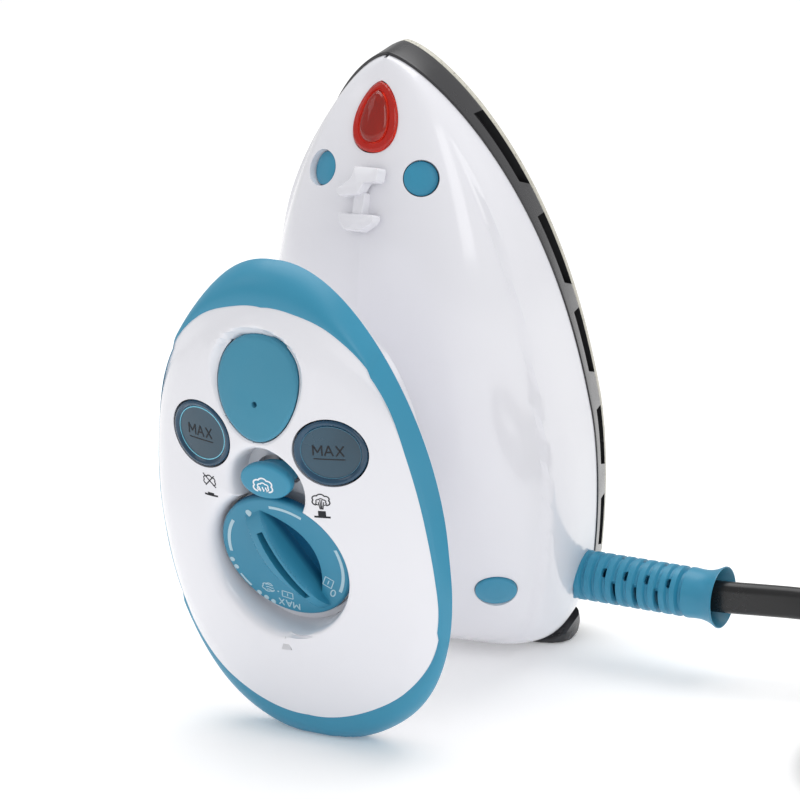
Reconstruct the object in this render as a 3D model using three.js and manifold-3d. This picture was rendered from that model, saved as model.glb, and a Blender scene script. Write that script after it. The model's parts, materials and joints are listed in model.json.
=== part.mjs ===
// Small steam iron with an egg-shaped palm grip, standing on its heel as it is parked between uses.
// Units are millimetres. The iron is modelled face down in its own frame, where X is sideways,
// Y runs from the heel towards the nose and Z rises from the ironing face. The outer group then
// leans that frame back until the heel rest and the grip's heel edge both stand on the plane Z = 0.
import * as THREE from "three";
import { mergeVertices } from "three/addons/utils/BufferGeometryUtils.js";
import Module from "manifold-3d";

const wasm = await Module();
wasm.setup();

// ---- driving dimensions ----
const GAP = 0.3; // left between pieces that touch
const LEAN = THREE.MathUtils.degToRad(22.1); // backward lean of the ironing face
const IRON_AT = new THREE.Vector3(0, 59.8, 11.5); // heel corner of the ironing face when parked

const NOSE = 148.3; // soleplate nose, along Y
const HEEL = -3; // soleplate heel
const WIDEST_AT = 58;
const HALF_WIDTH = 31.7; // soleplate half width at the widest place
const SOLE_EDGE = 3; // thickness of the soleplate's visible edge
const CASTING_TOP = 8.5; // top of the raised casting on the soleplate
const CASTING_INSET = 3.9;

const SKIRT_TOP = 10; // joint between the black skirt and the white body
const SKIRT_FLARE = 2.1; // how much wider the skirt is at its top
const BODY_NOSE = 149.6;
const BODY_HEEL = -2.6;
const BODY_WALL = 2;
const BODY_BOX = 3.4; // squareness of the body's arched sections, 2 for an ellipse
const NECK_AT = 74; // middle of the neck, along Y
const NECK_TOP = 84; // the neck is trimmed by the grip above it

const GRIP_AT = new THREE.Vector3(0, 79.84, 80.43); // middle of the grip's widest outline
const GRIP_TILT = THREE.MathUtils.degToRad(-11.6); // grip's nose end dips towards the body
const GRIP_HALF_LENGTH = 57.2;
const GRIP_HALF_WIDTH = 36.75;
const GRIP_EGG = 0.15; // wider towards the heel
const FACE_HALF_LENGTH = 50;
const FACE_HALF_WIDTH = 34.6;
const FACE_SHIFT = -0.9;
const FACE_CROWN = 12.9; // top of the crowned face above the widest outline
const FACE_SIDE_DROP = 8.7;
const FACE_END_DROP = 7.2;
const FACE_WALL = 2;

const DIAL_AT = 71.6; // dial axis, along Y
const DIAL_RADIUS = 15.6;
const DIAL_TOP = 89.9; // height of the dial's disc
const WELL_FLOOR = 86.7; // floor under the dial
const BUTTON_AT = 10; // steam button and valve, along the grip from its middle
const BUTTON_TOP = 12.2; // in the grip's frame
const RECESS_FLOOR = 5.8; // floor round the button, in the grip's frame
const INLET_AT = 88; // water inlet of the steam chamber, along Y
const FILL_AT = 30.3; // fill cap, along the grip from its middle
const WINDOW_AT = 18.5;
const WINDOW_SIDE = 15.9;

const CORD_WIDTH = 7.5; // flat twin cord, standing on edge
const CORD_THICK = 4.2;
const RELIEF_AT = new THREE.Vector3(0, 15.5, 16.5);
const RELIEF_START = 26;
const RELIEF_END = 63;
const COIL = { x: 149, y: 16, inner: 28.3, outer: 52.7, low: 0.9, high: 16.3 }; // stands on the tie
const TIE_AT = THREE.MathUtils.degToRad(20);
const TIE_WIDTH = 8;
const PLUG_AT = [142.8, 82.7, 6.4]; // cord end of the plug
const PLUG_TURN = THREE.MathUtils.degToRad(10);
const BLADE_SPACING = 12.7;

// ---- colours of the moulded and metal parts ----
const finish = (color, roughness, metalness = 0, extra = {}) =>
  new THREE.MeshStandardMaterial({ color, roughness, metalness, ...extra });
const WHITE = finish("#eeeef3", 0.25);
const BLUE = finish("#4489ad", 0.45);
const BLACK = finish("#26272a", 0.35);
const CERAMIC = finish("#d2cfc2", 0.45);
const STEEL = finish("#a9abae", 0.3, 1);
const ALUMINIUM = finish("#b9bbbd", 0.4, 1);
const BRASS = finish("#b5974e", 0.3, 1);
const RUBBER = finish("#4a93b4", 0.7);
const CORD_BLACK = finish("#151517", 0.5);
const SILICONE = finish("#d9d4c6", 0.6);
const TANK_BLUE = finish("#4f8fb0", 0.1, 0, { transparent: true, opacity: 0.5 });
const RED_LENS = finish("#c2201c", 0.1, 0, { transparent: true, opacity: 0.7 });
const GLASS = finish("#f2d6c8", 0.05, 0, { transparent: true, opacity: 0.5 });
const CERAMIC_WHITE = finish("#e6e2d6", 0.6);

// ---- geometry helpers ----
const vec = (x, y, z) => new THREE.Vector3(x, y, z);
const mix = (a, b, t) => a + (b - a) * t;

// Closed mesh with shared vertices and its faces turned outwards.
function closed(geometry) {
  const bare = geometry.clone();
  bare.deleteAttribute("normal");
  bare.deleteAttribute("uv");
  const merged = mergeVertices(bare, 1e-4);
  const p = merged.getAttribute("position");
  const index = merged.index.array;
  const [a, b, c] = [vec(0, 0, 0), vec(0, 0, 0), vec(0, 0, 0)];
  let volume = 0;
  for (let i = 0; i < index.length; i += 3) {
    a.fromBufferAttribute(p, index[i]);
    b.fromBufferAttribute(p, index[i + 1]);
    c.fromBufferAttribute(p, index[i + 2]);
    volume += a.dot(b.cross(c));
  }
  if (volume < 0) index.reverse();
  return merged;
}

function solid(geometry) {
  const g = closed(geometry);
  const vertProperties = g.getAttribute("position").array;
  const triVerts = new Uint32Array(g.index.array);
  return new wasm.Manifold(new wasm.Mesh({ numProp: 3, vertProperties, triVerts }));
}

function shapeOf(manifold) {
  const m = manifold.getMesh();
  const g = new THREE.BufferGeometry();
  const flat = new Float32Array(m.numVert * 3);
  for (let i = 0; i < m.numVert; i++) {
    flat.set(m.vertProperties.subarray(i * m.numProp, i * m.numProp + 3), i * 3);
  }
  g.setAttribute("position", new THREE.BufferAttribute(flat, 3));
  g.setIndex(new THREE.BufferAttribute(m.triVerts, 1));
  g.computeVertexNormals();
  return g;
}

// Skin over a stack of rings that all have the same number of points, closed by a fan at each end.
function loft(rings) {
  const count = rings[0].length;
  const points = rings.flat();
  const faces = [];
  for (let r = 0; r + 1 < rings.length; r++) {
    for (let i = 0; i < count; i++) {
      const j = (i + 1) % count;
      const [a, b, c, d] = [r * count + i, r * count + j, (r + 1) * count + j, (r + 1) * count + i];
      faces.push(a, b, c, a, c, d);
    }
  }
  for (const [ring, turn] of [[0, -1], [rings.length - 1, 1]]) {
    const middle = rings[ring].reduce((sum, p) => sum.add(p), vec(0, 0, 0)).divideScalar(count);
    points.push(middle);
    for (let i = 0; i < count; i++) {
      const [a, b] = [ring * count + i, ring * count + ((i + 1) % count)];
      faces.push(points.length - 1, turn > 0 ? a : b, turn > 0 ? b : a);
    }
  }
  return new THREE.BufferGeometry().setFromPoints(points).setIndex(faces);
}

// Cylinder or cone from z = low to z = high about the line (x, y).
function round(radius, low, high, x = 0, y = 0, sides = 24, topRadius = radius) {
  const g = new THREE.CylinderGeometry(topRadius, radius, high - low, sides);
  return g.rotateX(Math.PI / 2).translate(x, y, (low + high) / 2);
}

function box(sx, sy, sz, x, y, z) {
  return new THREE.BoxGeometry(sx, sy, sz).translate(x, y, z);
}

// Upright prism of an oval, from z = low to z = high.
function oval(halfX, halfY, low, high, x = 0, y = 0, sides = 36) {
  return round(1, low, high, 0, 0, sides).scale(halfX, halfY, 1).translate(x, y, 0);
}

// Turned piece about Z from [radius, height] pairs.
function turned(profile, sides = 32) {
  const points = profile.map(([r, z]) => new THREE.Vector2(r, z));
  return new THREE.LatheGeometry(points, sides).rotateX(Math.PI / 2);
}

function polygon(points) {
  return new THREE.Shape(points.map(([x, y]) => new THREE.Vector2(x, y)));
}

function prism(shape, low, high) {
  const g = new THREE.ExtrudeGeometry(shape, { depth: high - low, bevelEnabled: false, curveSegments: 6 });
  return g.translate(0, 0, low);
}

// Round rod along a curve through the given points.
function rod(points, radius, steps, sides = 6) {
  const ring = new THREE.Shape().absarc(0, 0, radius, 0, Math.PI * 2);
  const section = new THREE.Shape(ring.getPoints(sides / 2).slice(0, -1));
  const path = new THREE.CatmullRomCurve3(points);
  return new THREE.ExtrudeGeometry(section, { steps, extrudePath: path, bevelEnabled: false });
}

// Straight-line lookup of y over x along a smooth curve through [x, y] pairs.
function profile(pairs) {
  const curve = new THREE.SplineCurve(pairs.map(([x, y]) => new THREE.Vector2(x, y)));
  const samples = curve.getPoints(160);
  return (x) => {
    const after = samples.findIndex((p) => p.x >= x);
    if (after <= 0) return after < 0 ? samples.at(-1).y : samples[0].y;
    const [a, b] = [samples[after - 1], samples[after]];
    return mix(a.y, b.y, (x - a.x) / (b.x - a.x));
  };
}

// Turns +Z onto a direction and moves the origin to a place.
function aim(place, direction) {
  const turn = new THREE.Quaternion().setFromUnitVectors(vec(0, 0, 1), direction.clone().normalize());
  return new THREE.Matrix4().compose(place, turn, vec(1, 1, 1));
}

// ---- scene groups ----
const group = new THREE.Group();
const iron = new THREE.Group();
iron.rotation.x = Math.PI / 2 + LEAN;
iron.position.copy(IRON_AT);
const grip = new THREE.Group();
grip.rotation.x = GRIP_TILT;
grip.position.copy(GRIP_AT);
iron.add(grip);
group.add(iron);
group.updateMatrixWorld(true);
const gripFrame = grip.matrix.clone();
const ironFrame = iron.matrix.clone();

function piece(name, geometry, material, parent = iron) {
  const body = geometry instanceof wasm.Manifold ? shapeOf(geometry) : closed(geometry);
  body.computeVertexNormals();
  const mesh = new THREE.Mesh(body, material);
  mesh.name = name;
  parent.add(mesh);
  return mesh;
}

// Geometry given in the iron's frame, seen from the grip's frame.
const toGrip = (geometry) => geometry.applyMatrix4(gripFrame.clone().invert());
// Everything below the parked iron's floor, in the iron's or the grip's frame.
const underFloor = () => box(300, 300, 40, 0, 0, -20).applyMatrix4(ironFrame.clone().invert());

// ---- outlines ----
// Half width of the soleplate at a place along Y.
function soleHalf(y) {
  if (y > WIDEST_AT) {
    const u = Math.min((y - WIDEST_AT) / (NOSE - WIDEST_AT), 1);
    return HALF_WIDTH * Math.pow(1 - Math.pow(u, 2.4), 0.68);
  }
  const u = Math.min((WIDEST_AT - y) / (WIDEST_AT - HEEL), 1);
  return HALF_WIDTH * (1 - 0.36 * Math.pow(u, 1.6)) * Math.pow(1 - Math.pow(u, 20), 0.4);
}

// Closed ring of the soleplate's outline, fitted between a heel and a nose and widened sideways.
function outlineRing(heel, nose, widen, z, count = 26) {
  const right = [];
  for (let i = 0; i <= count; i++) {
    const t = (1 - Math.cos((Math.PI * i) / count)) / 2;
    const half = soleHalf(mix(HEEL, NOSE, t)) * (1 + widen / HALF_WIDTH);
    right.push(vec(half, mix(heel, nose, t), z));
  }
  const left = right.slice(1, -1).reverse().map((p) => vec(-p.x, p.y, p.z));
  return [...right, ...left];
}

function outlineSlab(inset, low, high, count) {
  const ring = (z) => outlineRing(HEEL + inset, NOSE - inset * 1.5, -inset, z, count);
  return loft([ring(low), ring(high)]);
}

// Height of the white body's centre ridge along Y.
const ridge = profile([
  [-3, 41], [12, 43.2], [28, 45], [52, 49.5], [75, 50.5], [90, 48.3], [104.9, 42.8],
  [117.9, 35.8], [133.2, 25.2], [141, 18.4], [145.5, 14.4], [149.6, 11.2],
]);

// Body section at a place along Y: a boxy arch with a faint ridge line on top.
function bodySection(y, inset, foot, steps) {
  const [heel, nose] = [BODY_HEEL + inset, BODY_NOSE - inset * 1.6];
  const spread = 1 + (SKIRT_FLARE - inset) / HALF_WIDTH;
  const half = soleHalf(mix(HEEL, NOSE, (y - heel) / (nose - heel))) * spread;
  const back = Math.max(0, (30 - y) / (30 - heel));
  const closing = Math.pow(Math.max(0, 1 - Math.pow(back, 2.6)), 1 / 2.6);
  const rise = Math.max((ridge(y + inset) - inset * 1.1 - SKIRT_TOP) * closing, 0.6);
  const ring = [];
  for (let i = 0; i <= steps; i++) {
    const angle = (Math.PI * i) / steps;
    const [c, s] = [Math.cos(angle), Math.sin(angle)];
    const x = Math.max(half, 0.4) * Math.sign(c) * Math.pow(Math.abs(c), 2 / BODY_BOX);
    const crease = 0.05 * Math.abs(x) * Math.pow(s, 2);
    ring.push(vec(x, y, SKIRT_TOP + rise * Math.pow(s, 2 / BODY_BOX) - crease));
  }
  ring[0].z = Math.min(ring[0].z, foot);
  ring[steps].z = Math.min(ring[steps].z, foot);
  return ring;
}

function bodyDome(inset, foot, rows = 16, steps = 12) {
  const [heel, nose] = [BODY_HEEL + inset, BODY_NOSE - inset * 1.6];
  const rings = [];
  for (let i = 0; i <= rows; i++) {
    const along = (1 - Math.cos((Math.PI * i) / rows)) / 2;
    rings.push(bodySection(mix(heel + 0.05, nose - 0.05, along), inset, foot, steps));
  }
  return loft(rings);
}

// Neck between the body and the grip, an oval that flares at both ends.
function neck(inset, low, high) {
  const halfX = profile([[30, 21], [46, 16.5], [56, 14.4], [64, 15], [72, 18], [84, 22]]);
  const halfY = profile([[30, 36], [46, 29], [56, 26], [64, 26.5], [72, 29.5], [84, 36]]);
  const [levels, sides] = [5, 20];
  const rings = [];
  for (let i = 0; i <= levels; i++) {
    const z = mix(low, high, i / levels);
    const ring = [];
    for (let j = 0; j < sides; j++) {
      const angle = (2 * Math.PI * j) / sides;
      const [a, b] = [halfX(z) - inset, halfY(z) - inset];
      ring.push(vec(a * Math.cos(angle), NECK_AT + b * Math.sin(angle), z));
    }
    rings.push(ring);
  }
  return loft(rings);
}

// Ring of the grip's egg outline at a height in the grip's frame.
function eggRing(halfWidth, halfLength, z, shift = 0, count = 32) {
  const ring = [];
  for (let i = 0; i < count; i++) {
    const angle = (2 * Math.PI * i) / count;
    const x = halfWidth * Math.sin(angle) * (1 - GRIP_EGG * Math.cos(angle));
    ring.push(vec(x, shift + halfLength * Math.cos(angle), z));
  }
  return ring;
}

// Height of the crowned face over a point of the grip.
function crownHeight(x, y) {
  const along = Math.min(Math.abs((y - FACE_SHIFT) / FACE_HALF_LENGTH), 1.1);
  const across = x / FACE_HALF_WIDTH;
  const power = y < FACE_SHIFT ? 1.5 : 3; // it starts to fall sooner towards the heel
  return FACE_CROWN - FACE_SIDE_DROP * across * across - FACE_END_DROP * Math.pow(along, power);
}

// Solid under the crowned face, lowered and shrunk by an inset, down to a flat base.
function crownSolid(inset, base) {
  const rings = [];
  const edge = eggRing(FACE_HALF_WIDTH - inset, FACE_HALF_LENGTH - inset, base, FACE_SHIFT);
  rings.push(edge);
  for (const part of [1, 0.93, 0.76, 0.5]) {
    rings.push(edge.map((p) => {
      const [x, y] = [p.x * part, FACE_SHIFT + (p.y - FACE_SHIFT) * part];
      const eased = part === 1 ? 0.5 : 0;
      return vec(x, y, crownHeight(x, y) - inset - eased);
    }));
  }
  return loft(rings);
}

// ---- soleplate assembly ----
const VENTS = [[0, 112], [-4.5, 106], [4.5, 106], [-4.5, 98], [4.5, 98], [-4.5, 90], [4.5, 90]];
const ELEMENT_PATH = [
  vec(-13, 5, 15.4), vec(-13, 7, 10.5), vec(-15.5, 14, 7.2), vec(-18.5, 32, 7), vec(-19, 58, 7),
  vec(-17, 86, 7), vec(-14, 108, 7), vec(-9.9, 117.9, 7), vec(0, 122, 7), vec(9.9, 117.9, 7),
  vec(14, 108, 7), vec(17, 86, 7), vec(19, 58, 7), vec(18.5, 32, 7), vec(15.5, 14, 7.2),
  vec(13, 7, 10.5), vec(13, 5, 15.4),
];

function makeSoleplate() {
  let plate = solid(outlineSlab(0, 0, SOLE_EDGE, 22));
  plate = plate.add(solid(outlineSlab(CASTING_INSET, SOLE_EDGE - 0.5, CASTING_TOP, 16)));
  const groove = ELEMENT_PATH.slice(1, -1).map((p) => vec(p.x, p.y, Math.min(p.z, 7.6)));
  plate = plate.subtract(solid(rod(groove, 3.9, 36)));
  for (const side of [-1, 1]) {
    plate = plate.subtract(solid(box(9, 18, 8, side * 13.8, 6, 8)));
  }
  plate = plate.subtract(solid(oval(7.4, 15, 4, 12, 0, 99, 28)));
  for (const [x, y] of VENTS) {
    plate = plate.subtract(solid(round(1.5, -1, 6, x, y, 8)));
  }
  piece("soleplate", plate, CERAMIC);
  piece("heating_element", rod(ELEMENT_PATH, 2.6, 36, 8), STEEL);
}

function makeSteamChamber() {
  const opening = solid(oval(7.7, 15.3, 5, 14, 0, 99, 28));
  const seal = solid(oval(9.3, 18.2, CASTING_TOP + GAP, 9.6, 0, 99, 28)).subtract(opening);
  piece("steam_chamber_seal", seal, SILICONE);
  let cover = solid(oval(9.3, 18.2, 9.9, 11.1, 0, 99, 28));
  for (const y of [83.2, 114.8]) {
    cover = cover.subtract(solid(round(1.5, 8, 14, 0, y, 12)));
  }
  cover = cover.subtract(solid(round(2.7, 8, 14, 0, INLET_AT, 16)));
  piece("steam_chamber_cover", cover, ALUMINIUM);
  const headed = [[0, 9.9], [1.15, 9.9], [1.15, 11.4], [2.3, 11.4], [2.3, 12.8], [0, 12.8]];
  piece("cover_screw_rear", turned(headed, 12).translate(0, 83.2, 0), STEEL);
  piece("cover_screw_front", turned(headed, 12).translate(0, 114.8, 0), STEEL);
}

function makeThermostat() {
  const base = solid(box(15, 13, 4, 0, DIAL_AT, CASTING_TOP + GAP + 2));
  piece("thermostat_base", base.subtract(solid(round(1.6, 5, 20, 0, DIAL_AT, 12))), CERAMIC_WHITE);
  const leaf = solid(box(9, 24, 0.8, 0, DIAL_AT - 4, 13.5));
  piece("bimetal_leaf", leaf.subtract(solid(round(3.2, 10, 20, 0, DIAL_AT, 16))), BRASS);
  const screw = [[0, 11], [1.3, 11], [1.3, 14.6], [2.6, 14.6], [2.6, 20], [0, 20]];
  piece("thermostat_screw", turned(screw, 16).translate(0, DIAL_AT, 0), BRASS);
  const fuse = round(2, -7, 7, 0, 0, 12).rotateX(Math.PI / 2).translate(0, 46, 11.1);
  piece("thermal_fuse", fuse, STEEL);
  const strap = solid(box(12, 5, 5.6, 0, 46, 11.8));
  const tunnel = solid(box(4.7, 6, 4.8, 0, 46, 11.1));
  piece("fuse_clip", strap.subtract(tunnel), ALUMINIUM);
}

// ---- skirt, heel rest and body ----
function makeSkirt() {
  const [low, high] = [SOLE_EDGE + GAP, SKIRT_TOP - GAP];
  const outer = loft([
    outlineRing(HEEL, NOSE + 0.2, 0.2, low, 20),
    outlineRing(BODY_HEEL, BODY_NOSE, SKIRT_FLARE, high, 20),
  ]);
  const inner = loft([
    outlineRing(HEEL + 2.6, NOSE - 4.4, -2.9, low - 2, 20),
    outlineRing(HEEL + 2.6, NOSE - 4.4, -1.2, high + 2, 20),
  ]);
  let skirt = solid(outer).subtract(solid(inner));
  const slots = [[116, 133], [90, 108], [66, 83], [39, 56], [15, 30]];
  for (const [from, to] of slots) {
    for (const side of [-1, 1]) {
      const x = side * (soleHalf((from + to) / 2) + 1);
      const lean = Math.atan2(soleHalf(to) - soleHalf(from), to - from);
      const cut = box(5, to - from, 4.4, 0, 0, 0).rotateZ(-side * lean);
      skirt = skirt.subtract(solid(cut.translate(x, (from + to) / 2, low + 1)));
    }
  }
  piece("skirt", skirt, BLACK);
}

// Bumper along the heel that the parked iron stands on.
function makeHeelRest() {
  const rings = [];
  for (let i = 0; i <= 10; i++) {
    const x = mix(-20, 20, i / 10);
    const taper = Math.pow(1 - Math.pow(Math.abs(x) / 20.4, 5), 0.35);
    const [half, reach] = [6.2 * taper, 5.4 * taper];
    rings.push([
      vec(x, BODY_HEEL - GAP, 13 - half), vec(x, BODY_HEEL - GAP, 13 + half),
      vec(x, -3.6 - reach * 0.6, 13 + half), vec(x, -4 - reach, 13 + half * 0.55),
      vec(x, -4 - reach, 13 - half * 0.5), vec(x, -3.6 - reach * 0.5, 13 - half),
    ]);
  }
  piece("heel_rest", solid(loft(rings)).subtract(solid(underFloor())), BLACK);
}

const FRONT_PLUG = { x: 12.1, y: 128.9, z: 25.6, tilt: vec(0.474, 0.556, 0.683), radius: 4 };
const REAR_PLUG = { x: 19, y: 28, z: 41.6, tilt: vec(0.397, -0.279, 0.875), radius: 4.8 };
const PLUGS = [["front", FRONT_PLUG], ["rear", REAR_PLUG]];
const SIDES = [["left", -1], ["right", 1]];

function plugFrame(plug, side) {
  return aim(vec(side * plug.x, plug.y, plug.z), vec(side * plug.tilt.x, plug.tilt.y, plug.tilt.z));
}

const LENS_FRAME = aim(vec(0, 139.4, 19.9), vec(0, 0.665, 0.747));

// Teardrop with its point towards the nose, widened by a margin.
function teardrop(margin) {
  const [half, tip, tail] = [4.8 + margin, 8.2 + margin, -7.4 - margin];
  const shape = new THREE.Shape();
  shape.moveTo(0, tip);
  shape.bezierCurveTo(half * 0.6, tip - 1.6, half, 2.2, half, -1.6);
  shape.bezierCurveTo(half, tail * 0.72, half * 0.55, tail, 0, tail);
  shape.bezierCurveTo(-half * 0.55, tail, -half, tail * 0.72, -half, -1.6);
  shape.bezierCurveTo(-half, 2.2, -half * 0.6, tip - 1.6, 0, tip);
  return shape;
}

function makeBody() {
  let shell = solid(bodyDome(0, SKIRT_TOP)).add(solid(neck(0, 30, NECK_TOP)));
  shell = shell.subtract(solid(bowl(GAP, 30).applyMatrix4(gripFrame)));
  let hollow = solid(bodyDome(BODY_WALL, 4, 10, 8)).add(solid(neck(BODY_WALL, 30, NECK_TOP + 2)));
  const holes = [];
  for (const [, side] of SIDES) {
    for (const [, plug] of PLUGS) {
      const frame = plugFrame(plug, side);
      const cup = solid(round(plug.radius + 1.8, -6.5, -0.6, 0, 0, 12).applyMatrix4(frame));
      hollow = hollow.subtract(cup);
      holes.push(round(plug.radius + GAP, -4.7, 6, 0, 0, 16).applyMatrix4(frame));
      holes.push(round(1.9, -12, 0, 0, 0, 8).applyMatrix4(frame));
    }
  }
  shell = shell.subtract(hollow);
  holes.push(prism(teardrop(GAP), -9, 8).applyMatrix4(LENS_FRAME));
  holes.push(round(5.1, 20, 40, 0, 0, 16).rotateY(Math.PI / 2).translate(0, RELIEF_AT.y, RELIEF_AT.z));
  for (const hole of holes) {
    shell = shell.subtract(solid(hole));
  }
  shell = shell.subtract(solid(underFloor()));
  piece("body_shell", shell, WHITE);
}

function makeBodyTrim() {
  for (const [end, plug] of PLUGS) {
    for (const [hand, side] of SIDES) {
      const frame = plugFrame(plug, side);
      const cover = turned([[0, -1.9], [plug.radius, -1.9], [plug.radius, 0.1], [0, 0.5]], 16);
      piece(`screw_cover_${end}_${hand}`, cover.applyMatrix4(frame), BLUE);
      const screw = [[0, -14], [1.5, -13.4], [1.5, -4.4], [2.8, -4.4], [2.8, -2.4], [0, -2.4]];
      piece(`body_screw_${end}_${hand}`, turned(screw, 12).applyMatrix4(frame), STEEL);
    }
  }
  const lens = prism(teardrop(0), -3.2, 0.3);
  const dome = oval(3.2, 5.4, 0, 1.2, 0, -0.6, 24);
  const lensSolid = solid(lens).add(solid(dome)).subtract(solid(oval(2.9, 4.6, -6, -0.9, 0, -0.8, 20)));
  piece("indicator_lens", shapeOf(lensSolid).applyMatrix4(LENS_FRAME), RED_LENS);
  piece("neon_lamp", round(2, -9.6, -3.6, 0, -0.8, 12).applyMatrix4(LENS_FRAME), GLASS);
  piece("lamp_holder", round(3, -12.6, -9.9, 0, -0.8, 12).applyMatrix4(LENS_FRAME), CERAMIC_WHITE);
}

// Small I-shaped cleat that stands on the ridge line.
function makeCleat() {
  const frame = aim(vec(0, 126.3, 31.3), vec(0, 0.62, 0.785));
  let cleat = solid(box(11.6, 3.4, 3, 0, 5.4, 2.2)).add(solid(box(9.6, 2.8, 2.2, 0, -5.8, 1.2)));
  cleat = cleat.add(solid(box(4.2, 12, 2, 0, 0, 0.9)));
  piece("ridge_cleat", shapeOf(cleat).applyMatrix4(frame), WHITE);
}

// ---- grip ----
// Outside of the grip's lower bowl, grown by a margin and carried up to a top.
function bowl(margin, top) {
  return loft([
    eggRing(17 + margin, 32 + margin, -11.4 - margin), eggRing(27 + margin, 45.5 + margin, -9.2 - margin),
    eggRing(33.4 + margin, 53.4 + margin, -5), eggRing(36.2 + margin, 56.6 + margin, -1.9),
    eggRing(GRIP_HALF_WIDTH, GRIP_HALF_LENGTH, -1.3), eggRing(GRIP_HALF_WIDTH, GRIP_HALF_LENGTH, top),
  ]);
}

const GRIP_SCREW = { x: 17, y: -24 };

function makeHandleBase() {
  const inner = loft([
    eggRing(16, 30.6, -9.2), eggRing(25.4, 43.6, -7.2), eggRing(31.4, 51.3, -3.4),
    eggRing(33, 53.2, -1), eggRing(33, 53.2, 3),
  ]);
  let base = solid(bowl(0, 0.2)).subtract(solid(inner));
  base = base.subtract(solid(toGrip(neck(BODY_WALL, 52, NECK_TOP))));
  base = base.subtract(solid(toGrip(underFloor())));
  for (const [hand, side] of SIDES) {
    base = base.subtract(solid(round(1.7, -14, 0, side * GRIP_SCREW.x, GRIP_SCREW.y, 12)));
    base = base.subtract(solid(round(3, -14, -9.5, side * GRIP_SCREW.x, GRIP_SCREW.y, 16)));
    const screw = [[0, -11.3], [2.6, -11.3], [2.6, -9.8], [1.3, -9.8], [1.3, 3], [0, 3.6]];
    const placed = turned(screw, 12).translate(side * GRIP_SCREW.x, GRIP_SCREW.y, 0);
    piece(`grip_screw_${hand}`, placed, STEEL, grip);
  }
  piece("handle_base", base, WHITE, grip);
}

function makeRimBand() {
  const outer = loft([
    eggRing(36.1, 56.4, 0.5), eggRing(36.5, 56.5, 2), eggRing(36, 54.6, 4), eggRing(34.9, 51, 5.9),
    eggRing(33.9, 48.6, 6.6), eggRing(33.4, 47, 6.8),
  ]);
  const bore = loft([
    eggRing(FACE_HALF_WIDTH + GAP, FACE_HALF_LENGTH + GAP, -2, FACE_SHIFT),
    eggRing(FACE_HALF_WIDTH + GAP, FACE_HALF_LENGTH + GAP, 9, FACE_SHIFT),
  ]);
  const band = solid(outer).subtract(solid(bore)).subtract(solid(toGrip(underFloor())));
  piece("rim_band", band, BLUE, grip);
}

function ovalThrough(halfX, halfY, x, y) {
  return oval(halfX, halfY, -3, 16, x, y, 24);
}

function makeFacePlate() {
  const crown = solid(crownSolid(0, 0.9));
  const deepCrown = solid(crownSolid(0, -12));
  const cups = [
    toGrip(round(18.2, WELL_FLOOR - 1.8, 104, 0, DIAL_AT, 24)),
    round(10.6, RECESS_FLOOR - 1.6, 20, 0, BUTTON_AT, 20),
    round(3.4, -5.5, 14, GRIP_SCREW.x, GRIP_SCREW.y, 10),
    round(3.4, -5.5, 14, -GRIP_SCREW.x, GRIP_SCREW.y, 10),
  ];
  let plate = crown.subtract(solid(crownSolid(FACE_WALL, -12)));
  for (const cup of cups) {
    plate = plate.add(solid(cup).intersect(deepCrown));
  }
  const seat = solid(ovalThrough(11.5, 12.9, 0, FILL_AT)).intersect(solid(crownSolid(0.4, 3.1)));
  plate = plate.add(seat.subtract(solid(crownSolid(4.6, -12))));
  const dialWell = turned([
    [0, WELL_FLOOR], [16.2, WELL_FLOOR], [16.2, DIAL_TOP + 0.4], [17.6, 99], [0, 99],
  ], 30).translate(0, DIAL_AT, 0);
  const cuts = [toGrip(dialWell), round(8.7, RECESS_FLOOR, 16, 0, BUTTON_AT, 24, 9.8)];
  cuts.push(toGrip(round(3.5, 70, 100, 0, DIAL_AT, 20)));
  cuts.push(round(3.6, -2, 16, 0, BUTTON_AT, 20));
  for (const [, side] of SIDES) {
    cuts.push(round(1.5, -8, 5, side * GRIP_SCREW.x, GRIP_SCREW.y, 12));
    cuts.push(ovalThrough(8.4, 7.6, side * WINDOW_SIDE, WINDOW_AT));
  }
  for (const cut of cuts) {
    plate = plate.subtract(solid(cut));
  }
  const seatCut = solid(ovalThrough(10.2, 11.6, 0, FILL_AT)).subtract(solid(crownSolid(2.8, -12)));
  plate = plate.subtract(seatCut).subtract(solid(round(6, -2, 16, 0, FILL_AT - 2, 24)));
  piece("face_plate", plate, WHITE, grip);
}

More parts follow.
